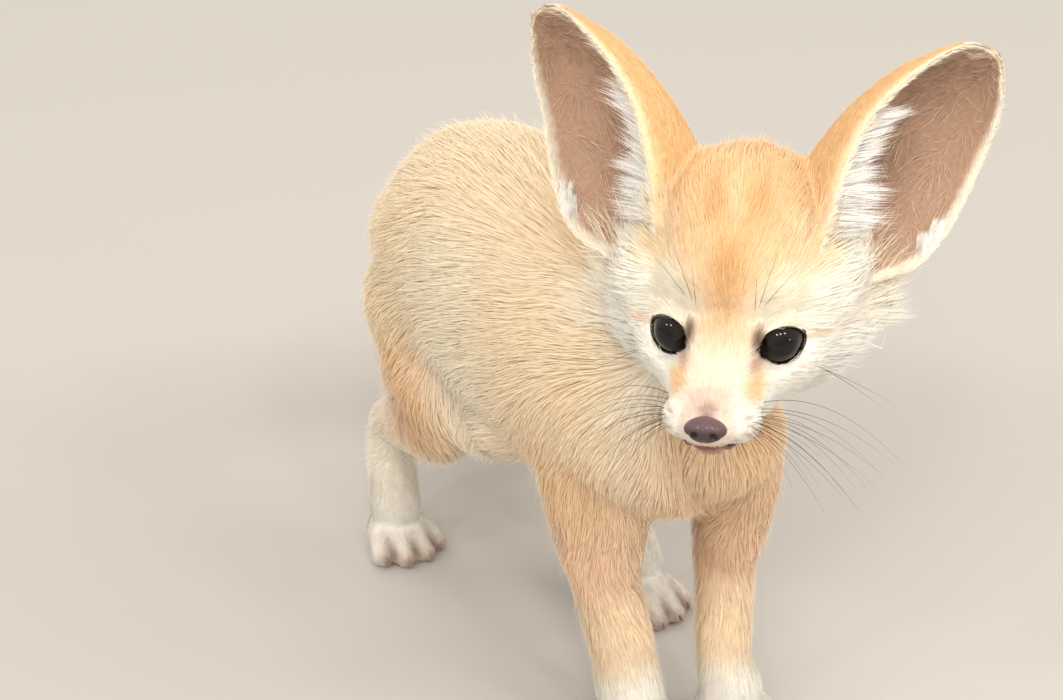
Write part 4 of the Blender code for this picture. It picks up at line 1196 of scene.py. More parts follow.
def unwrapped(points):
    """Each point's place on the unwrap of the hide."""
    tree, triangles, patches = UNWRAP
    hits = [tree.find_nearest(Vector(p)) for p in points]
    face = np.array([hit[2] for hit in hits])
    at = np.array([tuple(hit[0]) for hit in hits])
    a, b, c = (triangles[face, i] for i in range(3))
    total = np.linalg.norm(np.cross(b - a, c - a), axis=1) + 1e-18
    u = np.linalg.norm(np.cross(b - at, c - at), axis=1) / total
    v = np.linalg.norm(np.cross(c - at, a - at), axis=1) / total
    w = np.clip(1 - u - v, 0, 1)
    shares = np.stack([u, v, w], 1)[:, :, None]
    return (patches[face] * shares).sum(1) / shares.sum(1)


# The coat: tapered tufts of hair over the whole hide, each a thin closed blade that leaves the
# skin at a low angle and lies along the body. Short ones are one joint long, longer ones bend.

PATCH = 0.003  # a tuft's patch on the unwrap
# Two edges and the ridge of a blade: half widths across and out, place across the patch,
# and how the blade's light turns there
BLADE = ((-1, -0.12, 0.0, -1), (1, -0.12, 1.0, 1), (0, 0.32, 0.5, 0))
BLADE_TAPER = 0.28
BLADE_ROUND, BLADE_CROWN = 0.18, 0.15
PALEST = 0.92


def tuft_mesh(name, rows, normals, widths, tips, colours, spots):
    """Joined closed blades: rings of three points at each row (n, rows, 3), then a tip."""
    count, joints = rows.shape[:2]
    along = unit(tips - rows[:, 0])
    across = unit(np.cross(along, normals))
    out = np.cross(across, along)
    size = joints * 3 + 1
    places = np.empty((count, size, 3))
    for j in range(joints):
        wide = (widths * (1 - BLADE_TAPER * j))[:, None] / 2
        for k, (x, y, _, _) in enumerate(BLADE):
            places[:, j * 3 + k] = rows[:, j] + across * wide * x + out * wide * y
    places[:, -1] = tips
    places[:, :, 2] = np.maximum(places[:, :, 2], FLOOR_CLEARANCE)
    faces, underside = [(0, 1, 2)], [False]
    for j in range(joints - 1):
        for k in range(3):
            a, b = j * 3 + k, j * 3 + (k + 1) % 3
            faces += [(a, a + 3, b), (b, a + 3, b + 3)]
            underside += [k == 0] * 2
    last = (joints - 1) * 3
    faces += [(last + k, size - 1, last + (k + 1) % 3) for k in range(3)]
    underside += [True, False, False]
    faces = np.array(faces)
    corners = (faces[None] + (np.arange(count) * size)[:, None, None]).ravel()
    mesh = bpy.data.meshes.new(name)
    mesh.vertices.add(count * size)
    mesh.vertices.foreach_set("co", places.astype(np.float32).ravel())
    mesh.loops.add(len(corners))
    mesh.loops.foreach_set("vertex_index", corners.astype(np.int32))
    mesh.polygons.add(len(corners) // 3)
    mesh.polygons.foreach_set("loop_start", np.arange(0, len(corners), 3, dtype=np.int32))
    mesh.update(calc_edges=True)
    level = np.array([j / joints for j in range(joints) for _ in range(3)] + [1.0])
    sideways = np.array([edge[2] for edge in BLADE] * joints + [0.5])
    patch = np.stack([sideways - 0.5, level - 0.5], 1) * PATCH
    places_on = (spots[:, None] + patch[None]).reshape(-1, 2)
    layer = mesh.uv_layers.new(name="OFBake")
    layer.data.foreach_set("uv", places_on[corners].astype(np.float32).ravel())
    made = placed(name, mesh)
    tone = (0.96 + 0.07 * level)[None, :, None] * colours[:, None, :]
    paint(made, np.clip(tone, 0, PALEST).reshape(-1, 3))
    mesh.shade_smooth()
    facing = np.repeat(normals[:, None], size, 1)
    lean = np.array([edge[3] for edge in BLADE] * joints + [0.0]) * BLADE_ROUND
    facing = unit(facing + across[:, None] * lean[None, :, None] + out[:, None] * BLADE_CROWN)
    facing = facing[:, faces] * np.where(underside, -1.0, 1.0)[:, None, None]
    mesh.normals_split_custom_set(facing.reshape(-1, 3).tolist())
    return made


def coat_pieces(name, slot, material, most, **parts):
    """One or more coat pieces from arrays of tufts, each with at most so many tufts."""
    total = len(parts["tips"])
    pieces = max(1, math.ceil(total / most))
    for i in range(pieces):
        run = slice(total * i // pieces, total * (i + 1) // pieces)
        part = {key: rows[run] for key, rows in parts.items()}
        made = tuft_mesh(f"{name}_{i + 1}" if pieces > 1 else name, **part)
        made.data.materials.append(material)
        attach(made, "root")


def skin_samples(rng, count, weigh):
    """Random points on the skin, spread by a weight for each face's middle."""
    mesh = skin.data
    corners = np.empty(len(mesh.loops), np.int32)
    mesh.loops.foreach_get("vertex_index", corners)
    corners = corners.reshape(-1, 3)
    triangle = skin_points[corners]
    cross = np.cross(triangle[:, 1] - triangle[:, 0], triangle[:, 2] - triangle[:, 0])
    area = np.linalg.norm(cross, axis=1) / 2
    weight = area * weigh(triangle.mean(1), corners)
    face = rng.choice(len(corners), count, p=weight / weight.sum())
    u, v = rng.random(count), rng.random(count)
    flip = u + v > 1
    u[flip], v[flip] = 1 - u[flip], 1 - v[flip]
    shares = np.stack([1 - u - v, u, v], 1)[:, :, None]
    smooth = vertex_rows(mesh, "normal")
    normals = unit((smooth[corners[face]] * shares).sum(1))
    return (triangle[face] * shares).sum(1), normals


SHORT_HAIR = 4.4 * MM  # tufts below about this length have one joint


def tuft_width(length):
    return 0.12 * MM + 0.011 * length


# The mouth's line from its middle to a corner, and the lower lip, in the head's axes
LIP_LINE = [
    (0.0, 2.42, -1.86), (0.34, 2.30, -1.90), (0.62, 1.88, -1.94),
    (0.85, 1.25, -1.91), (1.05, 0.5, -1.80), (1.2, -0.05, -1.62),
]


def line_distance(points, line):
    """Distance of each point from the nearest place of a line."""
    return np.sqrt(((points[:, None] - line[None]) ** 2).sum(2).min(1))


def lip_gap(points):
    """Distance of each point from the line of the mouth."""
    line = smooth_row(LIP_LINE, 6)
    line = np.vstack([line, line * (-1, 1, 1)])
    at = head_places(points)
    near = np.full(len(points), 9.0)
    close = np.nonzero((at[:, 1] > -0.6) & (at[:, 2] < -1.2))[0]
    near[close] = line_distance(at[close], line)
    return near * CM


def lid_gap(points):
    """Distance of each point from the opening between the lids of the nearer eye."""
    near = np.full(len(points), 0.09)
    turns = np.linspace(0, 2 * math.pi, 40)
    for side in (-1, 1):
        line = np.array([tuple(p) for p in lid_line(side, 0.5, 0.94, turns)])
        close = np.nonzero(np.linalg.norm(points - line.mean(0), axis=1) < 0.012)[0]
        near[close] = np.minimum(near[close], line_distance(points[close], line))
    return near


def in_tail(points):
    """How far each point lies in the tail, 0 to 1."""
    return soft_step(body_places(points)[:, 1], 14.2, 14.9)


NOSE_ROOT, NOSE_BARE = (0, 2.62, -1.40), 4.6 * MM


def density(points, corners, kind):
    """Tufts for each area: enough that blades of that length and width overlap in layers."""
    _, length, depth = lie(points)
    up, across, apart, hollow = (
        rows[corners].mean(1) for rows in (skin_up, skin_across, skin_apart, skin_hollow)
    )
    upper_ear = soft_step(up, 0.25, 0.35) * 1.5 * MM
    bare = 1 - soft_step(apart - upper_ear, 0.85 * MM, 1.15 * MM)
    furred = (hollow < 0) | (across < 0.14)
    bare = bare * soft_step(up - furred * 0.10, 0.03, 0.08)
    nose = np.linalg.norm(points - np.array(in_head(*NOSE_ROOT)), axis=1) < NOSE_BARE
    under = points[:, 2] < 0.9 * MM
    wanted = 1 / (length * tuft_width(length)) * (1 - bare) * (1 - in_tail(points))
    wanted = wanted * ~nose * ~under * (1 + depth / (3 * MM))
    long_share = soft_step(length, SHORT_HAIR * 0.7, SHORT_HAIR * 1.5)
    clear = soft_step(lip_gap(points), 0.5 * MM, 1.1 * MM)
    clear = clear * soft_step(lid_gap(points), 0.7 * MM, 1.2 * MM)
    return wanted * (1 - long_share if kind == "short" else long_share) * clear


def wander(points, scale, seed):
    """A smooth field of small turns over the body, so that no two stretches comb alike."""
    rng = np.random.default_rng(seed)
    total = np.zeros(len(points))
    for _ in range(5):
        way = rng.normal(size=3)
        phase = points @ (way / np.linalg.norm(way)) * scale * rng.uniform(0.6, 1.6)
        total += np.sin(phase + rng.uniform(0, 6.3))
    return total / 5


SKIN_TREE = BVHTree.FromPolygons(
    [tuple(p) for p in skin_points], [tuple(face.vertices) for face in skin.data.polygons]
)


def over_skin(points, height):
    """The nearest point of the skin to each, raised off it."""
    found = np.empty_like(points)
    for i, point in enumerate(points):
        place, normal, _, _ = SKIN_TREE.find_nearest(Vector(point))
        found[i] = place + normal * height[i]
    return found


def clumped(roots, tips, every, pull):
    """Tips drawn towards the tip of the nearest leading tuft."""
    lead = np.arange(0, len(roots), every)
    tree = tree_of(roots[lead], lead)
    nearest = np.array([tree.find(p)[1] for p in roots])
    return tips + (tips[nearest] - tips) * pull


SPARSE = 1.0
COAT_FINISH = coat_material("coat", 420.0, 0.06, 0.7, 0.35, 0.0)
COAT_KINDS = {
    # Tufts, most in a piece, share of darker guard hairs, spread of the tone, standing loose
    "short": (92000, 48000, 0.05, 0.11, 0.06),
    "under": (58000, 48000, 0.0, 0.05, 0.0),
    "long": (56000, 19500, 0.02, 0.06, 0.06),
}


def body_coat(rng, kind):
    count, most, guards, mixed, loose = COAT_KINDS[kind]
    count = int(count * SPARSE)
    roots, normals = skin_samples(rng, count, lambda p, c: density(p, c, kind))
    way, length, depth = lie(roots)
    way = unit(way - normals * (way * normals).sum(1, keepdims=True))
    side = np.cross(normals, way)
    turn = wander(roots, 260.0, 3) * 0.28 + wander(roots, 900.0, 5) * 0.10
    turn = turn + rng.normal(0, 0.08, count)
    way = unit(way * np.cos(turn)[:, None] + side * np.sin(turn)[:, None])
    length = length * rng.uniform(0.75, 1.15, count)
    rise = depth * rng.uniform(*((0.55, 0.85) if kind == "under" else (0.85, 1.05)), count)
    rise = rise * (1 + (rng.random(count) < loose) * 0.9)
    guard = rng.random(count) < guards
    colours = markings_and_shade(roots) * (0.98 + rng.normal(0, mixed, count) - guard * 0.22)[:, None]
    width = tuft_width(length) * rng.uniform(0.75, 1.25, count) * (1 - guard * 0.35)
    start = roots - normals * 0.15 * MM
    if kind == "long":
        middle_at = over_skin(roots + way * (length * 0.5)[:, None], rise * 0.8)
        tips = over_skin(roots + way * length[:, None], rise)
        legs = 1 - soft_step(body_places(roots)[:, 2], 5.5, 8.0)
        tips = clumped(roots, tips, 16, (0.12 + 0.22 * legs)[:, None])
        rows = np.stack([start, middle_at], 1)
    else:
        rise = rise + length * 0.08 * (kind == "short")
        tips = roots + way * length[:, None] + normals * rise[:, None]
        rows = start[:, None]
    parts = dict(
        rows=rows, normals=normals, widths=width * (1.6 if kind == "under" else 1.0),
        tips=tips, colours=colours, spots=unwrapped(roots),
    )
    order = np.argsort(head_places(roots)[:, 1])
    parts = {key: value[order] for key, value in parts.items()}
    coat_pieces("coat_" + kind, "coat_body", COAT_FINISH, most, **parts)


for seed, kind in enumerate(COAT_KINDS, 11):
    body_coat(np.random.default_rng(seed), kind)

# The ears' hair: short and orange behind, thin and brown within, darker deep in the hollow as
# painted shade, pale short hairs standing along the rims, and a long white fringe that crosses the
# opening from the inner edge.

EAR_WALL = EAR_THICKNESS * CM / 2


def ear_axes(side, where):
    """Unit vectors up the ear, across its wall, out of its hollow side and over its opening."""
    up, across = where
    rising, sideways = ear_tangents(side, up, across, 0.01)
    one = np.ones(len(up))
    over = unit(ear_surface(side, up, one) - ear_surface(side, up, 0 * one))
    return unit(rising), unit(sideways), ear_normals(side, up, across), over


# Hair over the opening is lit from in front and above
EAR_FACING = {
    side: unit(np.array(head_direction(side * EAR_OPENS[0], *EAR_OPENS[1:])) + (0, 0, 0.9))
    for side in (-1, 1)
}


def ear_samples(rng, side, count, ups, acrosses):
    """Random places on the ear's wall within these shares up and across it, even by area."""
    up = rng.uniform(*ups, count * 4)
    across = rng.uniform(*acrosses, count * 4)
    area = np.linalg.norm(np.cross(*ear_tangents(side, up, across, 0.004)), axis=1)
    pick = rng.choice(count * 4, count, replace=False, p=area / area.sum())
    return up[pick], across[pick]


def ear_tufts(
    rng, side, where, hollow, way, length, rise, colours, width,
    joints=1, open_side=0.8, loose=0.16, mixed=0.07,
):
    """Blades on one side of the ear's wall; way mixes up, across, out of the hollow, and over."""
    count = len(where[0])
    rising, sideways, inward, over = ear_axes(side, where)
    normal = inward * hollow
    base = ear_surface(side, *where)
    root = base + normal * EAR_WALL * 0.8
    along = rising * way[0] + sideways * way[1] + inward * way[2] + over * way[3]
    turn = rng.normal(0, loose, count) + loose * 1.6 * wander(base, 700.0, 9)
    along = unit(along + np.cross(normal, along) * turn[:, None])
    length = length * rng.uniform(0.7, 1.2, count)
    bend = rise * rng.uniform(0.4, 1.1, count)
    tips = root + along * length[:, None] + normal * bend[:, None]
    if joints > 1:
        tips = clumped(root, tips, 26, 0.5)
    rows = [root]
    for j in range(1, joints):
        part = j / joints
        arch = normal * (bend * math.sin(math.pi * part))[:, None]
        rows.append(root + (tips - root) * part + arch)
    tint = colours * (1 + rng.normal(0, mixed, count))[:, None]
    facing = unit(normal * (1 - open_side) + EAR_FACING[side] * open_side)
    return dict(
        rows=np.stack(rows, 1), normals=facing,
        widths=width * MM * rng.uniform(0.75, 1.25, count),
        tips=tips, colours=tint, spots=unwrapped(base + normal * EAR_WALL),
    )


def merged(groups):
    return {key: np.concatenate([group[key] for group in groups]) for key in groups[0]}


WHITE_HAIR, PALE_HAIR = linear((254, 250, 243)), linear((240, 220, 204))
FAWN_HAIR = linear((214, 184, 162))
RIM_HAIR = (
    # Tufts, span up the ear, span across it, lean over the opening
    (1500, (0.0, 1.0), (0.0, 0.03), 0.30),
    (1500, (0.0, 1.0), (0.97, 1.0), -0.30),
    (300, (0.94, 1.0), (0.0, 1.0), 0.0),
)
FRINGE = (
    # Tufts, spans up and across, way, least and greatest length in millimetres, colour
    (2000, (0.17, 0.31), (0.02, 0.22), (0.55, 0, 0.30, 1.0), 8.0, 20.0, WHITE_HAIR),
    (1300, (0.28, 0.50), (0.02, 0.16), (0.85, 0, 0.20, 0.9), 6.0, 16.0, WHITE_HAIR),
    (900, (0.06, 0.70), (0.01, 0.20), (1.0, 0, 0.15, 0.35), 3.0, 6.5, PALE_HAIR),
    (300, (0.26, 0.33), (0.94, 1.0), (0.6, 0, 0.5, 0.2), 3.0, 5.0, WHITE_HAIR),
    (1000, (0.10, 0.97), (0.12, 0.96), (1.0, 0, 0.12, 0.10), 3.0, 5.5, FAWN_HAIR),
)


def ear_coat(rng, side, name):
    """The short hair of one ear as one piece, and its fringe as another."""

    def places(count, ups, acrosses):
        return ear_samples(rng, side, int(count * SPARSE), ups, acrosses)

    def tufts(where, hollow, way, length, rise, tone, *finish):
        return ear_tufts(rng, side, where, hollow, way, length * MM, rise * MM, tone, *finish)

    where = places(12500, (0.0, 0.95), (0.03, 0.97))
    tone = ear_markings_and_shade(*where, -np.ones(len(where[0])))
    length = 3.4 - 1.2 * where[0]
    short = [tufts(where, -1, (1, 0, -0.1, 0), length, 0.25, tone, 0.24, 1, 0.2)]
    where = places(6500, (0.08, 1.0), (0.0, 1.0))
    tone = ear_markings_and_shade(*where, np.ones(len(where[0]))) * 1.06
    edge = np.minimum(where[1], 1 - where[1])
    length = 3.6 + 0.8 * (1 - soft_step(edge, 0.04, 0.22))
    short.append(tufts(where, 1, (1, 0, 0.15, 0.2), length, 0.3, tone, 0.30, 1, 0.4, 0.3, 0.2))
    for count, ups, acrosses, lean in RIM_HAIR:
        for hollow in (-1, 1):
            where = places(count, ups, acrosses)
            length = 3.0 - 1.4 * where[0]
            tone = np.tile(EAR_RIM, (len(length), 1))
            short.append(tufts(where, hollow, (1, 0, 0.25, lean), length, 0.2, tone, 0.16, 1, 0.95))
    coat_pieces(name + "_short", "coat_ear", COAT_FINISH, 48000, **merged(short))
    fringe = []
    for count, ups, acrosses, way, least, longest, tone in FRINGE:
        where = places(count, ups, acrosses)
        length = rng.uniform(least, longest, len(where[0]))
        tone = np.tile(tone, (len(length), 1))
        fringe.append(tufts(where, 1, way, length, 1.0, tone, 0.15, 2, 0.9, 0.34, 0.1))
    coat_pieces(name + "_fringe", "coat_ear", COAT_FINISH, 12000, **merged(fringe))


for side, name in ((-1, "ear_right_coat"), (1, "ear_left_coat")):
    ear_coat(np.random.default_rng(20 + side), side, name)

# The brush: the tail's long loose hair, which leaves its core all round, lies along it, and
# trails to a dark tip.

BRUSH_STEPS = 8
BRUSH_BEYOND = 2.3  # how far the last hairs trail past the end of the core
BRUSH_END = 10  # steps from the core's end to the last hairs' tips


def brush_rows():
    """Middles along the tail, directions and reach of the brush, out past the core's end."""
    rows = smooth_row([[*c, reach] for c, _, reach in TAIL], BRUSH_STEPS)
    heading = unit(rows[-1, :3] - rows[-3, :3])
    for share in np.linspace(0.1, 1.0, BRUSH_END):
        reach = TAIL[-1][2] * math.sqrt(1 - (share * 0.97) ** 2)
        rows = np.vstack([rows, [*(rows[-1, :3] + heading * BRUSH_BEYOND * 0.1), reach]])
    return rows


def tail_coat(rng, count):
    rows = brush_rows()
    centres = np.array([tuple(in_body(*row[:3])) for row in rows])
    ways = unit(np.gradient(centres, axis=0))
    travel = np.concatenate([[0], np.cumsum(np.linalg.norm(np.diff(centres, axis=0), axis=1))])

    def weigh(points, corners):
        return in_tail(points) + 0.2 * soft_step(body_places(points)[:, 1], 13.6, 14.4)

    roots, normals = skin_samples(rng, count, weigh)
    nearest = ((roots[:, None] - centres[None, : -BRUSH_END]) ** 2).sum(2).argmin(1)
    length = rng.uniform(14.0, 21.0, count) * MM

    def ahead(share):
        """The brush's middle this share of each hair further on, the way out, and its reach."""
        goal = travel[nearest] + length * share
        goal = np.minimum(goal, travel[-1] - rng.uniform(0, 0.5, count) * 6 * MM)
        axis = np.stack([np.interp(goal, travel, centres[:, k]) for k in range(3)], 1)
        heading = unit(np.stack([np.interp(goal, travel, ways[:, k]) for k in range(3)], 1))
        out = roots - centres[nearest]
        out = unit(out - heading * (out * heading).sum(1, keepdims=True))
        return axis, out, np.interp(goal, travel, rows[:, 3]) * CM

    axis, out, reach = ahead(0.4)
    tip_axis, tip_out, tip_reach = ahead(1.0)
    fill = np.sqrt(rng.uniform(0.15, 1.0, count))
    tip = tip_axis + tip_out * (tip_reach * fill)[:, None]
    near = np.linalg.norm(roots - centres[nearest], axis=1)
    middle_at = axis + out * (near + (reach * fill - near) * 0.62)[:, None]
    tip[:, 2] = np.maximum(tip[:, 2], 0.4 * MM)
    middle_at[:, 2] = np.maximum(middle_at[:, 2], 0.5 * MM)
    quarter = roots * 0.45 + middle_at * 0.55 + out * (reach * 0.06)[:, None]
    tip = clumped(roots, tip, 12, 0.35)
    start = roots - normals * 0.2 * MM
    widths = rng.uniform(0.30, 0.48, count) * MM
    tone = markings_and_shade(middle_at * 0.5 + tip * 0.5) * (1 + rng.normal(0, 0.07, count))[:, None]
    return dict(
        rows=np.stack([start, quarter * 0.4 + middle_at * 0.6], 1), normals=normals,
        widths=widths, tips=tip, colours=tone, spots=unwrapped(roots),
    )


BRUSH_TUFTS = int(9500 * SPARSE)
brush = tail_coat(np.random.default_rng(31), BRUSH_TUFTS)
coat_pieces("tail_coat", "coat_body", COAT_FINISH, 12000, **brush)

# The eyes: dark wet balls with a raised front and a brown iris, each set in a black rim
# that the lids keep moist.

PUPIL, IRIS, WHITE_OF_EYE = math.radians(19.0), math.radians(37.0), math.radians(44.0)
CORNEA_RISE = 0.035
EYE_TONES = {"pupil": (4, 3, 4), "iris": (26, 17, 13), "ring": (6, 5, 5), "outer": (18, 13, 12)}
LID_RIM = (34, 25, 23)


def gloss_material(name, roughness, coat, grain=0.0, scale=1500.0, specular=0.5):
    """A moist or horny finish over the piece's own tint, with a cobbled grain where asked."""
    wet = {"Coat Weight": coat, "Coat Roughness": 0.04, "Specular IOR Level": specular}
    material, tree, tint, shader = tinted_material(name, Roughness=roughness, **wet)
    tree.links.new(tint.outputs["Color"], shader.inputs["Base Color"])
    if grain:
        where = add(tree, "ShaderNodeTexCoord")
        cells = add(tree, "ShaderNodeTexVoronoi", Scale=scale)
        tree.links.new(where.outputs["Object"], cells.inputs["Vector"])
        cobbles = dict(Strength=grain, Distance=0.0003, invert=True)
        add_relief(tree, cells.outputs["Distance"], shader, **cobbles)
    return material


def finished(piece, material, slot, colours, *nodes):
    """Gives a piece its finish and tint, and hides the CAD nodes it stands for, if any."""
    piece.data.materials.clear()
    piece.data.materials.append(material)
    piece.data.shade_smooth()
    paint(piece, colours)
    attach(piece, "root")
    if nodes:
        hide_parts(*nodes)


EYE_FINISH = gloss_material("wet_eye", 0.06, 0.0, specular=0.38)


def make_eye(side, name):
    axis = eye_axis(side)
    place = Matrix.Translation(eye_place(side)) @ axis.to_track_quat("Z", "Y").to_matrix().to_4x4()
    eye = ball(name, Matrix.Scale(EYE_RADIUS * CM, 4), 96)
    points = vertex_rows(eye.data)
    angle = np.arccos(np.clip(points[:, 2] / (EYE_RADIUS * CM), -1, 1))
    round_it = np.arctan2(points[:, 1], points[:, 0])
    rise = CORNEA_RISE * CM * (1 - soft_step(angle, PUPIL, WHITE_OF_EYE))
    points += unit(points) * rise[:, None]
    fibres = 1 + 0.25 * np.sin(round_it * 37) * np.sin(round_it * 23 + 1.3)
    tones = {key: linear(value) for key, value in EYE_TONES.items()}
    iris = (soft_step(angle, PUPIL - 0.03, PUPIL + 0.05) * fibres)[:, None]
    tint = tones["pupil"] * (1 - np.clip(iris, 0, 1)) + tones["iris"] * iris
    tint = blend(tint, tones["ring"], soft_step(angle, IRIS - 0.08, IRIS)[:, None])
    tint = blend(tint, tones["outer"], soft_step(angle, IRIS + 0.06, WHITE_OF_EYE)[:, None])
    set_places(eye.data, points)
    eye.data.transform(place)
    finished(eye, EYE_FINISH, "eye", tint, name)


def ring_tube(name, centres, radii, sides=10, closed=True):
    """A tube of varying radius through points, joined to itself or closed at both ends."""
    count = len(centres)
    turns = [2 * math.pi * k / sides for k in range(sides)]
    bm = bmesh.new()
    loops = []
    for i, centre in enumerate(centres):
        before = centres[(i - 1) % count] if closed or i else centre
        after = centres[(i + 1) % count] if closed or i + 1 < count else centre
        along = (after - before).normalized()
        across = along.cross(Vector((0.3, 0.2, 1.0))).normalized()
        deep = along.cross(across)
        spokes = [across * math.cos(turn) + deep * math.sin(turn) for turn in turns]
        loops.append([bm.verts.new(centre + spoke * radii[i]) for spoke in spokes])
    for first, second in zip(loops, loops[1:] + loops[:1] if closed else loops[1:]):
        bridge(bm, first, second)
    if not closed:
        bm.faces.new(loops[0])
        bm.faces.new(loops[-1])
    return closed_mesh(name, bm)


RIM_RADIUS, RIM_CORNER = 0.042, 0.03  # the rim is thicker at the eye's corners


def make_lid_rim(side, name):
    """A dark rim on the eyeball, round the opening between the lids."""
    depths, spreads = zip(*LID_LOOPS[:3])
    depth, reach = 0.5, (EYE_RADIUS + 0.03) * CM
    centres, radii = [], []
    for k in range(96):
        angle = 2 * math.pi * k / 96
        for _ in range(12):
            spread = float(np.interp(depth, depths, spreads))
            point = lid_line(side, depth, spread, [angle])[0]
            off = (point - eye_place(side)).length
            depth += (reach - off) / CM * 0.8
        centres.append(point)
        radii.append((RIM_RADIUS + RIM_CORNER * abs(math.cos(angle)) ** 6) * CM)
    finished(ring_tube(name, centres, radii), EYE_FINISH, "eye", linear(LID_RIM))


for side, name in ((-1, "eye_right"), (1, "eye_left")):
    make_eye(side, name)
    make_lid_rim(side, name + "_rim")

# The nose: bare plum-brown skin at the muzzle's end, finely cobbled and a little moist, with
# comma-shaped nostrils and a groove below. Its top is painted lighter as a highlight, and its lower
# front, nostrils and groove darker as painted shade.

NOSE_CENTRE = np.array((0, 2.64, -1.37))
NOSE_RADII = np.array((0.54, 0.42, 0.31))
NOSTRIL = ((0.22, -0.05), (0.40, -0.13))  # from the round opening out along its slit
NOSTRIL_DEPTH, GROOVE_DEPTH = 0.15, 0.035
# The top tone is a painted highlight; the front tone is painted shade low on the nose; the pit tone
# is painted shade in the nostrils and groove.
NOSE_TONES_LIT_AND_SHADED = {"lit_top": (98, 73, 78), "front": (62, 40, 42), "pit": (34, 21, 22)}


def line_gap(x, z, start, end):
    """Distance in the x-z plane from a stretch of line, and how far along it."""
    a, way = np.array(start), np.array(end) - np.array(start)
    share = np.clip(((x - a[0]) * way[0] + (z - a[1]) * way[1]) / (way @ way), 0, 1)
    return np.hypot(x - a[0] - share * way[0], z - a[1] - share * way[1]), share


def make_nose():
    nose = ball("nose", Matrix.Identity(4), 144)
    p = vertex_rows(nose.data)
    p = p[:, [0, 2, 1]] * (1, 1, -1)
    p[:, 1] = np.where(p[:, 1] > 0.55, 0.55 + (p[:, 1] - 0.55) * 0.75, p[:, 1])
    p[:, 0] *= 1 - 0.16 * soft_step(-p[:, 2], -0.1, 1.0)
    p[:, 2] += 0.10 * soft_step(p[:, 2], 0.2, 1.0) * (1 - np.abs(p[:, 0]))
    q = p * NOSE_RADII
    x, z = np.abs(q[:, 0]), q[:, 2]
    front = soft_step(p[:, 1], 0.0, 0.35)
    gap, along = line_gap(x, z, *NOSTRIL)
    width = 0.095 - 0.055 * along
    pit = np.exp(-((gap / width) ** 2) * 1.2) * front * (1 - 0.35 * along)
    groove = np.exp(-((q[:, 0] / 0.025) ** 2)) * soft_step(-z, 0.02, 0.2) * front
    q[:, 1] -= NOSTRIL_DEPTH * pit + GROOVE_DEPTH * groove
    tones = {key: linear(value) for key, value in NOSE_TONES_LIT_AND_SHADED.items()}
    # painted highlight on the top, painted shade down the front
    tint = blend(tones["front"], tones["lit_top"], soft_step(p[:, 2], -0.1, 0.7)[:, None])
    # painted shade in the nostrils and the groove
    pit_shade = np.clip(pit * 1.15 + groove * 0.5, 0, 1)[:, None]
    tint = blend(tint, tones["pit"], pit_shade)
    set_places(nose.data, from_head(q + NOSE_CENTRE))
    reworked(nose, bmesh.ops.recalc_face_normals)
    nose.data.update()
    finished(nose, gloss_material("nose_leather", 0.38, 0.35, 0.5, 2600.0), "nose", tint, "nose")


make_nose()

# The lips: bare skin along the mouth, a dark moist line from under the nose to each corner,
# over a pinkish lower lip.

LIP_TONES = {"line": (62, 38, 35), "lower": (122, 78, 70)}
LIP_FINISH = gloss_material("lip_skin", 0.45, 0.2)


def lip_strip(name, line, drop, radius, rise, tone):
    """A tapered strip laid on the skin along the mouth, from one corner to the other."""
    half = smooth_row(line, 6)
    row = np.vstack([half[::-1] * (-1, 1, 1), half[1:]]) + (0, 0, drop)
    places = over_skin(from_head(row), np.full(len(row), rise * MM))
    share = np.abs(np.linspace(-1, 1, len(row)))
    radii = radius * MM * (1 - 0.85 * share**2)
    strip = ring_tube(name, [Vector(p) for p in places], radii, closed=False)
    finished(strip, LIP_FINISH, "nose", linear(tone))


lip_strip("lip_line", LIP_LINE, 0.0, 0.42, 0.05, LIP_TONES["line"])
lip_strip("lower_lip", LIP_LINE[:4], -0.15, 1.0, 0.0, LIP_TONES["lower"])

# The whiskers: stiff dark hairs in rows on the pads, and a few over the eyes and on the cheeks,
# each tapering to nothing and sweeping back.

WHISKER_TONE = (66, 54, 46)
WHISKER_RADIUS = 0.085
STRAY_DROOP = 0.2
STRAY_WHISKERS = [
    # Root, direction in the head's axes, length in centimetres
    ((0.78, -0.05, 0.95), (0.25, 0.35, 1.0), 2.4),
    ((0.90, -0.10, 1.00), (0.55, 0.30, 0.9), 2.1),
    ((0.70, -0.02, 0.85), (0.05, 0.40, 1.0), 1.7),
    ((2.20, -0.75, -0.75), (1.0, 0.1, -0.25), 2.2),
    ((2.35, -0.95, -0.95), (1.0, 0.0, -0.45), 1.9),
]


def whisker_roots():
    """Root, direction, length and droop of each whisker of the left side, in the head's axes."""
    rng = np.random.default_rng(41)
    found = []
    for row, back, root in whisker_places():
        forward = 0.5 - 0.8 * back + rng.normal(0, 0.08)
        up = 0.30 - 0.24 * row + rng.normal(0, 0.08)
        length = (1.3 + 2.5 * back) * rng.uniform(0.8, 1.1) * (1 - 0.08 * row)
        found.append((root, (1.0, forward, up), length, rng.uniform(0.65, 1.3)))
    return found + [(root, way, length, STRAY_DROOP) for root, way, length in STRAY_WHISKERS]


def make_whiskers(side, name):
    tubes = []
    for root, way, length, droop in whisker_roots():
        at = np.array([in_head(side * root[0], root[1], root[2])])
        start = over_skin(at, np.array([-0.2 * MM]))[0]
        first = np.array(head_direction(side * way[0], way[1], way[2]))
        fall = np.array(head_direction(0, -0.45, -0.9))
        share = np.linspace(0, 1, 15)[:, None]
        places = start + first * share * length * CM + fall * droop * share**2 * length * CM * 0.8
        radii = WHISKER_RADIUS * MM * (1 - 0.86 * share[:, 0])
        tubes.append(ring_tube("whisker", [Vector(p) for p in places], radii, 5, closed=False))
    finished(joined(name, tubes), gloss_material(name, 0.4, 0.1), "claw", linear(WHISKER_TONE))


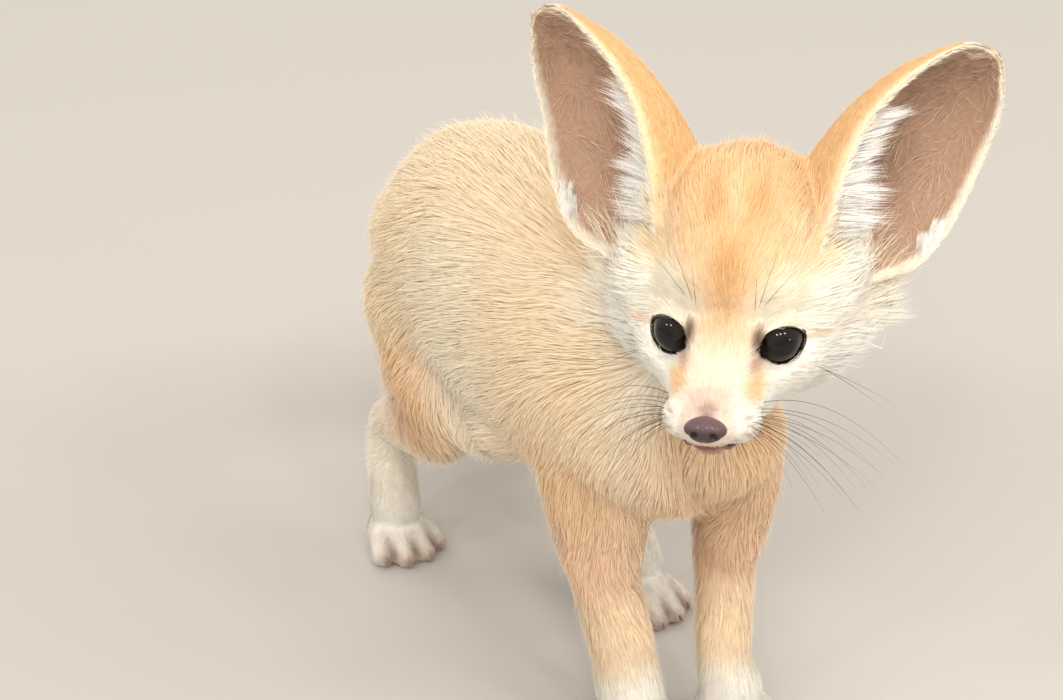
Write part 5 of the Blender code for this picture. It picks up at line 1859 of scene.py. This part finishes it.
for side, name in ((-1, "whiskers_right"), (1, "whiskers_left")):
    make_whiskers(side, name)

# The claws: small curved tips of horn that grow out of each toe's end and show a little past
# its hair.

CLAW_RADIUS = 0.055
CLAW_TONE = (150, 126, 112)
CLAW_CURVE = [((0.12, 0.04), 1.0), ((0.26, 0.05), 0.9), ((0.37, 0.00), 0.6), ((0.43, -0.08), 0.22)]


def make_claws(leg, name):
    tubes = []
    for _, tip, heading in toe_lines(leg):
        stations = []
        for (ahead, up), share in CLAW_CURVE:
            width = CLAW_RADIUS * share
            place = tip + heading * ahead + Vector((0, 0, up))
            stations.append((tuple(place), width * 0.7, width))
        tubes.append(body_tube("claw", stations, 12))
    finished(joined(name, tubes), gloss_material(name, 0.4, 0.15), "claw", linear(CLAW_TONE))


for key, leg in LEGS.items():
    make_claws(leg, "claws_" + key)

# The camera stands where the photographer's did: a little to the fox's right and looking down,
# with a long lens.

VIEW_TURN = math.radians(-33.0)
VIEW_RISE = math.radians(30.0)
VIEW_PLACE = (-51.92, -72.41, 63.28)
SENSOR = 36.0
LENS = 4000 / 1063 * SENSOR  # both in pixels of the photo: focal length and width


def aim(piece, away):
    """Turns a camera or lamp so that it looks against this direction."""
    piece.rotation_mode = "QUATERNION"
    piece.rotation_quaternion = (-away).to_track_quat("-Z", "Y")


bpy.ops.object.camera_add(location=in_body(*VIEW_PLACE))
camera = bpy.context.object
camera.name = "photo_camera"
level = math.cos(VIEW_RISE)
back = Vector((math.sin(VIEW_TURN) * level, -math.cos(VIEW_TURN) * level, math.sin(VIEW_RISE)))
aim(camera, back)
camera.data.sensor_width = SENSOR
camera.data.lens = LENS
camera.data.clip_start = 0.05
bpy.context.scene.camera = camera

# A plain pale floor with soft studio light from above and both sides, and small lamps that are
# only there to glint in the wet eyes.

bpy.ops.mesh.primitive_plane_add(size=4.0, location=(0, 0, -0.0002))
floor = bpy.context.object
floor.name = "studio_floor"
floor_finish = bpy.data.materials.new("studio_floor")
tree = node_tree(floor_finish)
shader = add(tree, "ShaderNodeBsdfPrincipled", Roughness=0.85)
shader.inputs["Base Color"].default_value = (0.50, 0.49, 0.47, 1)
output = add(tree, "ShaderNodeOutputMaterial")
tree.links.new(shader.outputs["BSDF"], output.inputs["Surface"])
floor.data.materials.append(floor_finish)
LAMP_COLOUR = (1.0, 0.955, 0.895)
WORLD_COLOUR, WORLD_STRENGTH = (0.95, 0.865, 0.765, 1), 0.80
LIGHTS = [
    # Bearing and height as seen from the head, distance, size, power, seen in the wet eyes
    (-45, 45, 1.5, 0.9, 8.0, False),
    (55, 35, 1.4, 0.9, 7.0, False),
    (170, 50, 1.4, 0.8, 5.0, False),
    (-37, 50, 1.4, 0.18, 2.3, True),
    (-10, 51, 1.4, 0.18, 2.3, True),
    (20, 46, 1.4, 0.18, 2.3, True),
    (24, 8, 1.4, 0.10, 0.8, True),
    (-109, 28, 1.4, 0.14, 1.6, True),
    (-85, 41, 1.4, 0.14, 1.6, True),
]
for bearing, height, distance, size, power, glints in LIGHTS:
    bearing, height = math.radians(bearing), math.radians(height)
    ray = Vector((math.sin(bearing), -math.cos(bearing), math.tan(height))).normalized()
    bpy.ops.object.light_add(type="AREA", location=in_body(*HEAD_PLACE) + ray * distance)
    lamp = bpy.context.object
    lamp.data.shape = "DISK"
    lamp.data.size = size
    lamp.data.energy = power
    lamp.data.color = LAMP_COLOUR
    lamp.visible_glossy = glints
    aim(lamp, ray)
world = bpy.data.worlds.new("studio")
bpy.context.scene.world = world
world.use_nodes = True
background = world.node_tree.nodes["Background"]
background.inputs["Color"].default_value = WORLD_COLOUR
background.inputs["Strength"].default_value = WORLD_STRENGTH
bpy.context.scene.view_settings.view_transform = "Standard"
